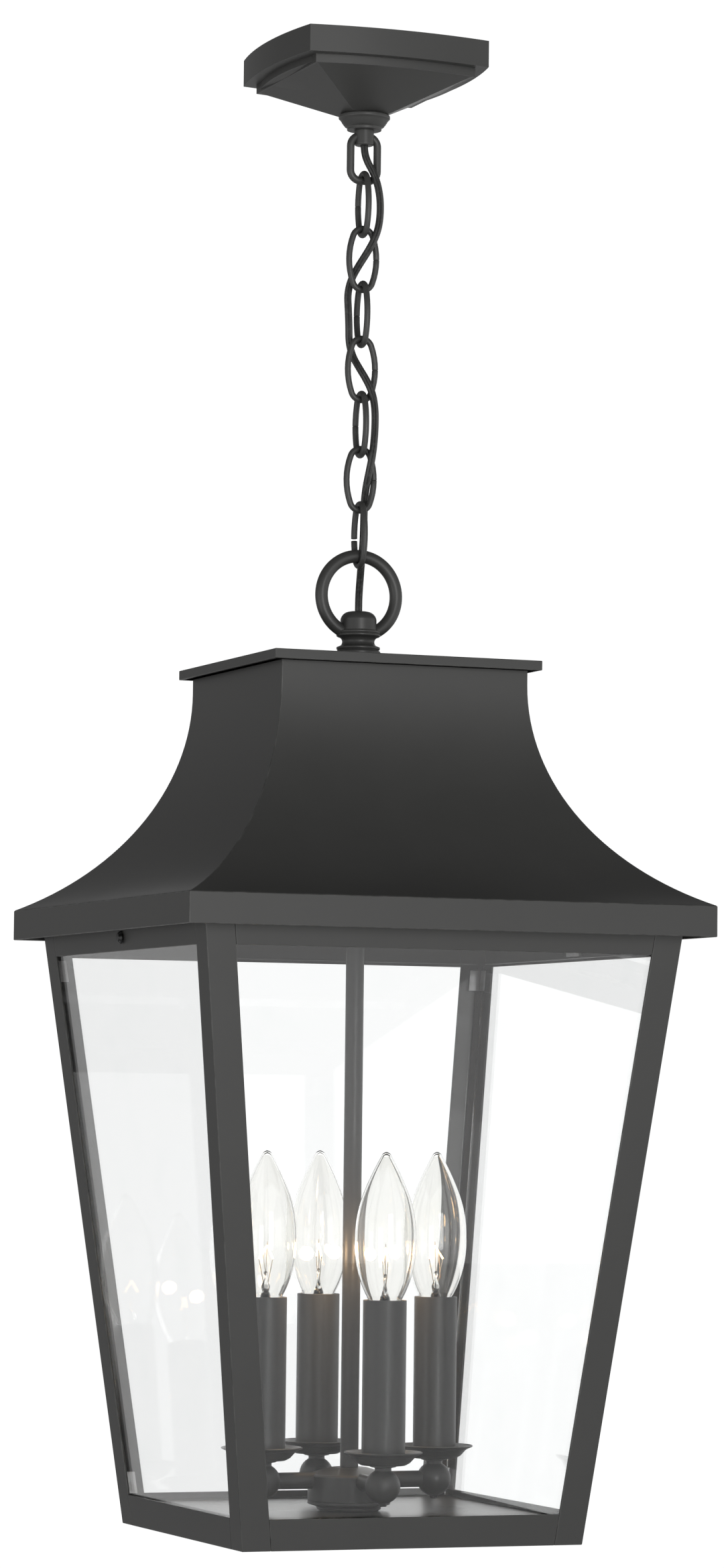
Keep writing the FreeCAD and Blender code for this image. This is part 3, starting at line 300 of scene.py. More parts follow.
@dataclass(frozen=True)
class ScrewPaint(Finish):
    """Dyed or blackened screw: glossy, with scuffs from the driver."""

    colour: Colour = (0.02, 0.02, 0.02, 1.0)
    scuff: Colour = (0.12, 0.12, 0.12, 1.0)

    def inputs(self, graph: Graph) -> dict:
        """Values and links of the shader's sockets."""
        scuffs = graph.noise(1.5, 4.0).ramp(0.56, 0.7)
        return {"Base Color": graph.blend(scuffs, self.colour, self.scuff),
                "Metallic": 0.6,
                "Roughness": scuffs * 0.25 + 0.3,
                "Normal": graph.relief(graph.noise(0.8), 0.02, 0.5)}


@dataclass(frozen=True)
class ClearGlass(Finish):
    """Clear glass with a faint tint, a slight waviness and a trace of dust; the warm tint of the bulbs is
    painted glow.
    """

    colour: Colour = (0.993, 0.998, 0.997, 1.0)
    dusty: Colour = (0.975, 0.985, 0.983, 1.0)
    wave_mm: float = 60.0
    wave_depth_mm: float = 0.02
    index: float = 1.5

    def inputs(self, graph: Graph) -> dict:
        """Values and links of the shader's sockets."""
        dust = graph.noise(28.0, 4.0).ramp(0.5, 0.8)
        wave = graph.noise(self.wave_mm, 1.0, (1.0, 1.0, 0.35))
        return {"Base Color": graph.blend(dust, self.colour, self.dusty),
                "Roughness": dust * 0.012,
                "Transmission Weight": 1.0,
                "IOR": self.index,
                "Normal": graph.relief(wave, self.wave_depth_mm, 0.3)}


@dataclass(frozen=True)
class CordJacket(Finish):
    """Soft jacket of a twin cord, with fine dust."""

    colour: Colour = (0.030, 0.030, 0.029, 1.0)
    dust: Colour = (0.075, 0.075, 0.072, 1.0)

    def inputs(self, graph: Graph) -> dict:
        """Values and links of the shader's sockets."""
        scuffs = graph.noise(2.4, 3.0).ramp(0.45, 0.75)
        return {"Base Color": graph.blend(scuffs * 0.6, self.colour, self.dust),
                "Roughness": scuffs * 0.2 + 0.32,
                "Normal": graph.relief(graph.noise(0.7), 0.02, 0.4)}


@dataclass(frozen=True)
class RolledBrass(Finish):
    """Rolled brass of a lamp base, with the relief of its thread."""

    colour: Colour = (0.72, 0.53, 0.26, 1.0)
    tarnish: Colour = (0.40, 0.27, 0.12, 1.0)
    pitch_mm: float = 2.6

    def inputs(self, graph: Graph) -> dict:
        """Values and links of the shader's sockets."""
        stains = graph.noise(3.0, 4.0).ramp(0.45, 0.7)
        thread = graph.node("ShaderNodeTexWave", {"wave_type": "BANDS", "bands_direction": "Z"},
                            {"Vector": graph.place(), "Scale": math.tau / (20 * self.pitch_mm * MM)})
        return {"Base Color": graph.blend(stains, self.colour, self.tarnish),
                "Metallic": 1.0,
                "Roughness": stains * 0.2 + 0.22,
                "Normal": graph.relief(thread, 0.5, 0.6)}


@dataclass(frozen=True)
class MouldedPlastic(Finish):
    """Dark moulded socket plastic with a fine grain."""

    colour: Colour = (0.035, 0.033, 0.031, 1.0)
    pale: Colour = (0.06, 0.058, 0.055, 1.0)

    def inputs(self, graph: Graph) -> dict:
        """Values and links of the shader's sockets."""
        grain = graph.noise(0.6)
        return {"Base Color": graph.blend(grain.ramp(0.4, 0.8), self.colour, self.pale),
                "Roughness": grain * 0.15 + 0.42,
                "Normal": graph.relief(grain, 0.03, 0.5)}


@dataclass(frozen=True)
class GlowingWire(Finish):
    """Filament wire that glows, hotter in patches."""

    cool: Colour = (1.0, 0.34, 0.08, 1.0)
    hot: Colour = (1.0, 0.72, 0.36, 1.0)
    strength: float = 16.0

    def inputs(self, graph: Graph) -> dict:
        """Values and links of the shader's sockets."""
        heat = graph.noise(1.2, 1.0).ramp(0.3, 0.6)
        return {"Base Color": (0.05, 0.04, 0.03, 1.0),
                "Roughness": 0.4,
                "Emission Color": graph.blend(heat, self.cool, self.hot),
                "Emission Strength": self.strength}


@dataclass(frozen=True)
class StudioFloor(Finish):
    """Plain pale studio floor that gives a little light of its own."""

    colour: Colour = (0.86, 0.86, 0.86, 1.0)
    pale: Colour = (0.9, 0.9, 0.9, 1.0)
    lift: float = 0.2

    def inputs(self, graph: Graph) -> dict:
        """Values and links of the shader's sockets."""
        mottle = graph.noise(400.0)
        return {"Base Color": graph.blend(mottle, self.colour, self.pale),
                "Roughness": mottle * 0.1 + 0.6,
                "Emission Color": (1.0, 1.0, 1.0, 1.0),
                "Emission Strength": self.lift}


PAINT = SatinPaint("charcoal_powder_coat")
GLOSS_PAINT = SatinPaint("base_plate_powder_coat", roughness=0.26, spread=0.06, peel_depth_mm=0.006)
WIRE_PAINT = SatinPaint("wire_powder_coat", roughness=0.36, peel_mm=0.8)
ZINC = ZincSteel("zinc_plate", Slot.ZINC)
EARTH_GREEN = ScrewPaint("green_dyed_screw", Slot.EARTH, (0.03, 0.22, 0.07, 1.0), (0.35, 0.42, 0.3, 1.0))
BLACK_SCREW = ScrewPaint("blackened_screw")
PANE_GLASS = ClearGlass("clear_pane_glass", Slot.PANE)
# The warm cream tint of the bulb glass, also in its dust colour, is painted glow of the lit bulbs.
BULB_GLASS = ClearGlass("blown_bulb_glass_painted_glow", Slot.BULB, (0.985, 0.982, 0.965, 1.0),
                        (0.965, 0.96, 0.93, 1.0), wave_mm=14.0, wave_depth_mm=0.03, index=1.47)
STEM_GLASS = ClearGlass("pressed_stem_glass", Slot.BULB, wave_mm=3.0, wave_depth_mm=0.15, index=1.52)
CORD_FINISH = CordJacket("twin_cord_jacket", Slot.CORD)
BRASS = RolledBrass("rolled_brass_base", Slot.BRASS)
SOCKET_FINISH = MouldedPlastic("socket_phenolic", Slot.SOCKET)
FILAMENT = GlowingWire("glowing_filament", Slot.BULB)
NICKEL_WIRE = ZincSteel("nickel_support_wire", Slot.BULB, (0.5, 0.44, 0.36, 1.0), (0.35, 0.3, 0.25, 1.0))


@cache
def material_of(finish: Finish) -> Material:
    """The material of a finish, made once."""
    return finish.build()


def edges_in(geom: Iterable) -> list[Edge]:
    """The edges of an operator's result."""
    return [item for item in geom if isinstance(item, Edge)]


def verts_in(geom: Iterable) -> list[Vert]:
    """The vertices of an operator's result."""
    return [item for item in geom if isinstance(item, Vert)]


def rotate(form: Form, degrees: float, axis: str = "Z", centre: Spot = (0, 0, 0)) -> None:
    """Turn a whole mesh about an axis through a centre."""
    bmesh.ops.rotate(form, cent=centre, verts=form.verts,
                     matrix=Matrix.Rotation(math.radians(degrees), 3, axis))


def shift(form: Form, x: float, y: float, z: float) -> None:
    """Move a whole mesh."""
    bmesh.ops.translate(form, vec=(x, y, z), verts=form.verts)


def absorb(form: Form, part: Form) -> None:
    """Add a part to a mesh and free the part."""
    holder = bpy.data.meshes.new("part")
    part.to_mesh(holder)
    part.free()
    form.from_mesh(holder)
    bpy.data.meshes.remove(holder)


def arc(start: Point, stop: Point, radius: float, side: int, count: int) -> list[Point]:
    """Points of a profile's arc after its start and before its stop.

    Args:
        start: where the arc leaves.
        stop: where it arrives.
        radius: the arc's radius.
        side: +1 when the centre lies on the left of the way from start to stop, else -1.
        count: number of points between.

    Returns:
        The points between the ends.
    """
    chord = Vector(stop) - Vector(start)
    left = Vector((-chord.y, chord.x)).normalized() * side
    middle = (Vector(start) + Vector(stop)) / 2
    centre = middle + left * math.sqrt(max(radius ** 2 - (chord.length / 2) ** 2, 0.0))
    first = Vector(start) - centre
    turn = 2 * math.asin(min(chord.length / (2 * radius), 1.0)) * side
    return [tuple(centre + Matrix.Rotation(turn * step / (count + 1), 2) @ first)
            for step in range(1, count + 1)]


def lathe(profile: Sequence[Point], closed: bool = True, steps: int = 72, base: float = 0.0) -> Form:
    """Turn a profile about Z.

    Args:
        profile: points (radius, height) in order. Points on the axis close the shape there.
        closed: whether the last point is joined to the first.
        steps: number of faces round the axis.
        base: level that the heights are measured from.

    Returns:
        The turned mesh.
    """
    form = bmesh.new()
    points = [form.verts.new((radius, 0.0, base + height)) for radius, height in profile]
    pairs = list(zip(points, points[1:])) + ([(points[-1], points[0])] if closed else [])
    edges = [form.edges.new(pair) for pair in pairs if max(abs(end.co.x) for end in pair) > 1e-6]
    bmesh.ops.spin(form, geom=points + edges, cent=(0, 0, 0), axis=(0, 0, 1), dvec=(0, 0, 0),
                   angle=math.tau, steps=steps, use_merge=True)
    return form


def bowed_ring(form: Form, half: float, bow: float, level: float, cuts: int = 15) -> list[Edge]:
    """Add a level square ring whose sides bow outwards as arcs.

    Args:
        form: the mesh that gets the ring.
        half: half of the side from corner to corner.
        bow: how far the middle of each side stands out.
        level: the ring's height.
        cuts: points along each side, or 0 for straight sides.

    Returns:
        The ring's edges.
    """
    corners = [form.verts.new((x * half, y * half, level))
               for x, y in ((-1, -1), (1, -1), (1, 1), (-1, 1))]
    edges = [form.edges.new((corners[n], corners[(n + 1) % 4])) for n in range(4)]
    if not cuts:
        return edges
    ring = set(edges_in(bmesh.ops.subdivide_edges(form, edges=edges, cuts=cuts)["geom"]))
    radius = (half ** 2 + bow ** 2) / (2 * bow)
    for vert in {end for edge in ring for end in edge.verts} - set(corners):
        across, along = (0, 1) if abs(abs(vert.co.x) - half) < 1e-6 else (1, 0)
        rise = math.sqrt(radius ** 2 - vert.co[along] ** 2) - (radius - bow)
        vert.co[across] += math.copysign(rise, vert.co[across])
    return list(ring)


def bridge(form: Form, rings: Sequence[list[Edge]]) -> None:
    """Join each ring to the next with faces."""
    for lower, upper in zip(rings, rings[1:]):
        bmesh.ops.bridge_loops(form, edges=list(lower) + list(upper))


def cover(form: Form, *rings: list[Edge]) -> None:
    """Fill each ring with one face."""
    for ring in rings:
        bmesh.ops.edgeloop_fill(form, edges=ring)


def slab(form: Form, corners: Sequence[Spot], move: Spot, widen: float = 1.0) -> None:
    """Raise a solid from a level outline.

    Args:
        form: the mesh that gets the solid.
        corners: the lower outline.
        move: the way from the lower to the upper outline.
        widen: scale of the upper outline along X.
    """
    base = form.faces.new([form.verts.new(corner) for corner in corners])
    top = verts_in(bmesh.ops.extrude_face_region(form, geom=[base])["geom"])
    bmesh.ops.scale(form, vec=(widen, 1, 1), verts=top)
    bmesh.ops.translate(form, vec=move, verts=top)


def strip(reach: float, near: float, far: float, level: float) -> list[Spot]:
    """A slab's outline, as far to the left as to the right and between two values of Y."""
    return [(-reach, near, level), (reach, near, level), (reach, far, level), (-reach, far, level)]


def tidied(form: Form) -> Form:
    """Merge doubles and turn faces outwards."""
    bmesh.ops.remove_doubles(form, verts=form.verts, dist=1e-4)
    bmesh.ops.recalc_face_normals(form, faces=form.faces)
    return form


def soften(form: Form, width: float, segments: int = 2, sharper_than: float = 28.0) -> Form:
    """Tidy a mesh, round its sharp edges and mark what was rounded.

    Args:
        form: the mesh.
        width: width of the rounding.
        segments: faces across the rounding.
        sharper_than: angle in degrees past which an edge is rounded.

    Returns:
        The same mesh.
    """
    tidied(form)
    mark = form.loops.layers.float.new(EDGE_LAYER)
    limit = math.radians(sharper_than)
    sharp = [edge for edge in form.edges
             if len(edge.link_faces) == 2 and edge.calc_face_angle(0.0) > limit]
    made = bmesh.ops.bevel(form, geom=sharp, offset=width, offset_type="OFFSET", affect="EDGES",
                           segments=segments, profile=0.5, material=-1, clamp_overlap=True)
    for face in made["faces"]:
        for corner in face.loops:
            corner[mark] = 1.0
    return form


class WireForm:
    """A round wire drawn by moving its section along straights and arcs."""

    def __init__(self, radius: float, start: Spot, segments: int = 14) -> None:
        """Set a level section of the given radius at the start, ready to move along Z."""
        self.form = bmesh.new()
        bmesh.ops.create_circle(self.form, cap_ends=False, radius=radius, segments=segments)
        shift(self.form, *start)
        self.first = list(self.form.edges)
        self.last = list(self.form.edges)

    def straight(self, way: Spot) -> None:
        """Move the section straight on."""
        made = bmesh.ops.extrude_edge_only(self.form, edges=self.last)["geom"]
        verts = verts_in(made)
        bmesh.ops.translate(self.form, vec=way, verts=verts)
        self.last = [edge for edge in edges_in(made) if all(end in verts for end in edge.verts)]

    def turn(self, centre: Spot, degrees: float, steps: int) -> None:
        """Move the section round a centre, in the plane of X and Z."""
        verts = list({end for edge in self.last for end in edge.verts})
        made = bmesh.ops.spin(self.form, geom=verts + self.last, cent=centre, axis=(0, -1, 0),
                              dvec=(0, 0, 0), angle=math.radians(degrees), steps=steps)
        self.last = edges_in(made["geom_last"])


def mesh_object(form: Form, name: str, finish: Finish, unit: float = MM, smooth_below: float = 40.0,
                hollow: bool = False) -> Object:
    """Turn a mesh into an object at the origin.

    Args:
        form: the mesh, in units of the given size. It is freed.
        name: the object's name.
        finish: its finish.
        unit: metres per unit.
        smooth_below: edges flatter than this angle in degrees are shaded smooth.
        hollow: whether an inner shell already faces the hollow, so that facings are kept.

    Returns:
        The object.
    """
    bmesh.ops.remove_doubles(form, verts=form.verts, dist=1e-6)
    if not hollow:
        bmesh.ops.recalc_face_normals(form, faces=form.faces)
    bmesh.ops.scale(form, vec=(unit, unit, unit), verts=form.verts)
    mesh = bpy.data.meshes.new(name)
    form.to_mesh(mesh)
    form.free()
    mesh.shade_smooth()
    mesh.set_sharp_from_angle(angle=math.radians(smooth_below))
    mesh.materials.append(material_of(finish))
    return linked(name, mesh)


def linked(name: str, data: bpy.types.ID) -> Object:
    """Make an object of some data and link it to the scene."""
    item = bpy.data.objects.new(name, data)
    bpy.context.scene.collection.objects.link(item)
    return item


@dataclass
class Assembly:
    """Pieces that ride on one body of the frame."""

    nodes: dict[str, Object]
    body = "lantern"

    def add(self, form: Form, name: str, finish: Finish, *stands_for: str, weighted: bool = True,
            **shading: Union[float, bool]) -> None:
        """Finish a piece and set it on the body.

        Args:
            form: the mesh, in millimetres. It is freed.
            name: the piece's name.
            finish: its finish.
            stands_for: the frame's nodes that it stands for.
            weighted: whether large faces keep their own normal.
            shading: smooth_below and hollow, as mesh_object takes them.
        """
        item = mesh_object(form, name, finish, **shading)
        if weighted:
            keep = item.modifiers.new("even_shading", "WEIGHTED_NORMAL")
            keep.keep_sharp = True
            keep.weight = 100
        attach(item, self.body)
        if stands_for:
            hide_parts(*stands_for)
        LOG.info("%s rides on %s", name, self.body)

    def dress(self, finish: Finish, *names: str) -> None:
        """Give nodes of the frame their finish."""
        for name in names:
            item = self.nodes[name]
            item.data.materials.clear()
            item.data.materials.append(material_of(finish))
            LOG.info("%s is carried over", name)


@dataclass
class Canopy(Assembly):
    """Ceiling canopy, its screw collar, the loop below it and the hardware behind it."""

    half: float = 53.7
    bow: float = 5.6
    wall: float = 1.2
    band: float = 15.0
    step: float = 5.8
    tier: float = 4.8
    lip: float = 2.0
    depth: float = 37.0
    neck_half: float = 11.0
    hole_half: float = 5.4
    collar_radius: float = 14.6
    collar_foot: float = 9.8
    collar_height: float = 8.8
    pipe_radius: float = 5.25
    hub_radius: float = 5.5
    hub_length: float = 8.7
    cord_bore: float = 2.3
    bail_wire: float = 4.4
    bail_width: float = 20.6
    bail_length: float = 30.1
    bail_corner: float = 6.0
    body = "ceiling"

    def build(self) -> None:
        """Build the new pieces and dress the carried-over ones."""
        self.shell()
        self.collar()
        self.loop()
        self.dress(ZINC, "mounting_strap", "ceiling_pipe", "strap_nut")
        self.dress(EARTH_GREEN, "ground_screw")

    def shell(self) -> None:
        """The pressed shell: band, second tier and pyramid, with its hollow inside."""
        bow, low_bow, wall = self.bow, self.bow / 5, self.wall
        tier_half, start_half = self.half - self.step, self.half - self.step - self.lip
        tier_level = -self.band - self.tier
        outside = [(self.half, bow, 0.0), (self.half, bow, -self.band), (tier_half, bow, -self.band),
                   (tier_half, bow, tier_level), (start_half, bow, tier_level),
                   (self.neck_half, low_bow, -self.depth), (self.hole_half, low_bow, -self.depth)]
        inside = [(half - wall, bulge, level + wall) for half, bulge, level in reversed(outside[1:-1])]
        form = bmesh.new()
        loops = [bowed_ring(form, *ring) for ring in
                 [*outside, (self.hole_half, low_bow, -self.depth + wall), *inside,
                  (self.half - wall, bow, 0.0)]]
        bridge(form, loops + [loops[0]])
        self.add(soften(form, 0.7, segments=3), "canopy_shell", PAINT, "canopy")

    def collar(self) -> None:
        """The cup-shaped screw collar."""
        top, low = -self.depth, -self.depth - self.collar_height
        wide, foot = self.collar_radius, self.collar_foot
        start, stop = (wide - 1.0, top - 3.0), (foot + 1.2, low + 2.0)
        form = lathe([(self.pipe_radius, top), (wide - 0.8, top), (wide, top - 0.8), (wide, top - 2.2),
                      start, *arc(start, stop, self.collar_height * 2, -1, 6), stop,
                      (foot, low + 1.4), (foot, low), (self.pipe_radius, low)])
        self.add(soften(form, 0.25), "canopy_collar", PAINT, "screw_collar")

    def loop(self) -> None:
        """The round hub with its rounded bail, and the bore that the cord leaves."""
        level = -self.depth - self.collar_height
        low, seat = level - self.hub_length, self.pipe_radius - 0.15
        hub = lathe([(self.cord_bore, low), (self.hub_radius - 0.6, low), (self.hub_radius, low + 0.6),
                     (self.hub_radius, level), (seat, level), (seat, level + 3.2),
                     (self.cord_bore, level + 3.2)], steps=48)
        reach = (self.bail_width - self.bail_wire) / 2 - self.bail_corner
        bottom = level - self.bail_length + self.bail_wire / 2 - 1
        foot = bottom + self.bail_corner
        head = bottom + self.bail_length - self.bail_wire - self.bail_corner
        wire = WireForm(self.bail_wire / 2, (reach + self.bail_corner, 0, foot))
        for way, centre in (((0, 0, head - foot), (reach, 0, head)),
                            ((-2 * reach, 0, 0), (-reach, 0, head)),
                            ((0, 0, foot - head), (-reach, 0, foot)),
                            ((2 * reach, 0, 0), (reach, 0, foot))):
            wire.straight(way)
            wire.turn(centre, 90, 9)
        bmesh.ops.remove_doubles(wire.form, verts=wire.form.verts, dist=1e-3)
        self.add(wire.form, "canopy_bail", WIRE_PAINT, "canopy_loop", weighted=False)
        self.add(soften(hub, 0.3), "canopy_hub", WIRE_PAINT, "canopy_loop")


@dataclass
class Chain(Assembly):
    """Seven oval links, each bent from wire to a butt joint; the last joint stands open."""

    count: int = 7
    wire: float = 3.5
    length: float = 38.6
    width: float = 20.0
    end_radius: float = 6.2
    gap: float = 0.2
    first_hinge: float = -74.7
    bail_wire: float = 4.4
    joint_gap: float = 0.16
    open_gap: float = 1.2
    open_drop: float = 2.0
    end_steps: int = 16

    def build(self) -> None:
        """Build every link on its own body."""
        for number in range(1, self.count + 1):
            self.link(number)

    def middle(self, number: int) -> float:
        """Level of a link's middle."""
        half = (self.length - self.wire) / 2
        top = self.first_hinge + (self.bail_wire + self.wire) / 2 + self.gap
        return top - (number - 1) * (self.length - 2 * self.wire - self.gap) - half

    def link(self, number: int) -> None:
        """Build the link with the given number, from one side of its joint round to the other."""
        half, across = (self.length - self.wire) / 2, (self.width - self.wire) / 2
        rise = half - self.end_radius
        side = (across ** 2 + rise ** 2 - self.end_radius ** 2) / (2 * (across - self.end_radius))
        flat = math.degrees(math.asin(rise / (side - self.end_radius)))
        gap, fall = (self.open_gap, self.open_drop) if number == self.count else (self.joint_gap, 0.0)
        opening, drop = math.degrees(gap / side), math.degrees(fall / side)
        joint_side, far_side = (across - side, 0, 0), (side - across, 0, 0)
        wire = WireForm(self.wire / 2, (across, 0, 0))
        rotate(wire.form, drop - opening / 2, "Y", joint_side)
        for centre, degrees, share in ((joint_side, flat - (opening / 2 - drop), 4),
                                       ((0, 0, rise), 180 - 2 * flat, 1),
                                       (far_side, 2 * flat, 2),
                                       ((0, 0, -rise), 180 - 2 * flat, 1),
                                       (joint_side, flat - (drop + opening / 2), 4)):
            wire.turn(centre, degrees, self.end_steps // share)
        cover(wire.form, wire.first, wire.last)
        soften(wire.form, 0.22, sharper_than=60.0)
        rotate(wire.form, 90 if number % 2 else 0)
        shift(wire.form, 0, 0, self.middle(number))
        self.body = f"link_{number}"
        self.add(wire.form, f"link_{number}_wire", WIRE_PAINT, f"chain_link_{number}", smooth_below=50.0,
                 weighted=False)


CORD_ROUTE = (
    (0.0, 0.0, -0.0509), (0.0, -0.0002, -0.0575), (0.0014, -0.0017, -0.0638),
    (0.0039, -0.0042, -0.0696), (0.0061, -0.0059, -0.0764), (0.0080, -0.0057, -0.0850),
    (0.0086, -0.0046, -0.0940), (0.0074, -0.0049, -0.1022), (0.0047, -0.0043, -0.1098),
    (0.0014, -0.0015, -0.1168), (-0.0021, 0.0018, -0.1236), (-0.0051, 0.0047, -0.1306),
    (-0.0068, 0.0057, -0.1388), (-0.0067, 0.0043, -0.1482), (-0.0064, 0.0038, -0.1578),
    (-0.0059, 0.0049, -0.1664), (-0.0040, 0.0043, -0.1742), (-0.0010, 0.0013, -0.1812),
    (0.0022, -0.0021, -0.1882), (0.0049, -0.0049, -0.1958), (0.0065, -0.0053, -0.2048),
    (0.0072, -0.0039, -0.2144), (0.0066, -0.0040, -0.2240), (0.0052, -0.0050, -0.2324),
    (0.0043, -0.0033, -0.2400), (0.0040, 0.0002, -0.2474), (0.0043, 0.0038, -0.2548),
    (0.0049, 0.0059, -0.2630), (0.0048, 0.0059, -0.2724), (0.0047, 0.0065, -0.2816),
    (0.0042, 0.0072, -0.2906), (0.0030, 0.0056, -0.2990), (0.0012, 0.0024, -0.3068),
    (0.0001, 0.0004, -0.3144), (0.0, 0.0, -0.3234))


@dataclass
class SupplyCord:
    """Twin supply cord from the loop's hub to the neck, a stretch across each hinge of the chain."""

    width: float = 0.0042
    thickness: float = 0.0030
    web: float = 0.80
    lobe: float = 1.25
    section_points: int = 20
    hinges: tuple[float, ...] = (-0.0747, -0.10565, -0.13705, -0.16845, -0.19985, -0.23125,
                                 -0.26265, -0.29405)
    bend_reach: float = 0.008

    def build(self) -> None:
        """Read the route's smooth line, part it between the hinges and build each stretch."""
        line = self.line()
        bodies = ["ceiling"] + [f"link_{n}" for n in range(1, len(self.hinges))] + ["lantern"]
        middles = [(high + low) / 2 for high, low in zip(self.hinges, self.hinges[1:])]
        marks = [0] + [min(range(len(line)), key=lambda n, z=level: abs(line[n].z - z))
                       for level in middles] + [len(line) - 1]
        frames = self.frames(line)
        for number, (first, last) in enumerate(zip(marks, marks[1:])):
            self.stretch(number, line[first:last + 1], frames[first:last + 1], bodies[number:number + 2])

    def line(self) -> list[Vector]:
        """Points of the smooth line that the route's control points give."""
        curve = bpy.data.curves.new("cord_route", "CURVE")
        curve.dimensions = "3D"
        spline = curve.splines.new("NURBS")
        spline.points.add(len(CORD_ROUTE) - 1)
        for point, spot in zip(spline.points, CORD_ROUTE):
            point.co = (*spot, 1.0)
        spline.order_u = 3
        spline.use_endpoint_u = True
        spline.resolution_u = 8
        holder = bpy.data.objects.new("cord_route", curve)
        mesh = bpy.data.meshes.new_from_object(holder)
        points = [vert.co.copy() for vert in mesh.vertices]
        bpy.data.objects.remove(holder)
        bpy.data.meshes.remove(mesh)
        return points if points[0].z > points[-1].z else points[::-1]

    def frames(self, line: Sequence[Vector]) -> list[Matrix]:
        """A turn for the cord's section at each point, with as little twist as the line allows."""
        frames, across = [], Vector((1.0, -0.35, 0.0)).normalized()
        for number in range(len(line)):
            ahead = (line[min(number + 1, len(line) - 1)] - line[max(number - 1, 0)]).normalized()
            across = (across - ahead * across.dot(ahead)).normalized()
            frames.append(Matrix((across, ahead.cross(across), ahead)).transposed())
        return frames

    def stretch(self, number: int, line: Sequence[Vector], frames: Sequence[Matrix],
                bodies: Sequence[str]) -> None:
        """One stretch of the cord across a hinge.

        Args:
            number: the hinge's number, from 0 at the canopy's loop.
            line: the stretch's points.
            frames: the section's turn at each point.
            bodies: the bodies above and below the hinge; not used.
        """
        form = bmesh.new()
        bmesh.ops.create_circle(form, cap_ends=False, radius=self.width / 2, segments=self.section_points)
        for vert in form.verts:
            swell = math.sin(math.pi * (abs(vert.co.x) / (self.width / 2)) ** 0.9)
            vert.co.y *= self.thickness / self.width * (self.web + (self.lobe - self.web) * swell)
        section = [vert.co.copy() for vert in form.verts]
        ring, verts = list(form.edges), list(form.verts)
        first = list(ring)
        for point, frame in zip(line, frames):
            if point is not line[0]:
                made = bmesh.ops.extrude_edge_only(form, edges=ring)["geom"]
                fresh = set(verts_in(made))
                verts = [next(edge.other_vert(vert) for edge in vert.link_edges
                              if edge.other_vert(vert) in fresh) for vert in verts]
                ring = [edge for edge in edges_in(made) if fresh.issuperset(edge.verts)]
            for vert, spot in zip(verts, section):
                vert.co = point + frame @ spot
        cover(form, first, ring)
        item = mesh_object(form, f"cord_stretch_{number}", CORD_FINISH, unit=1.0)
        spans = [f"cord_span_{number}"] + (["cord_span_8"] if number == len(self.hinges) - 1 else [])
        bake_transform(item)
        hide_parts(*spans)


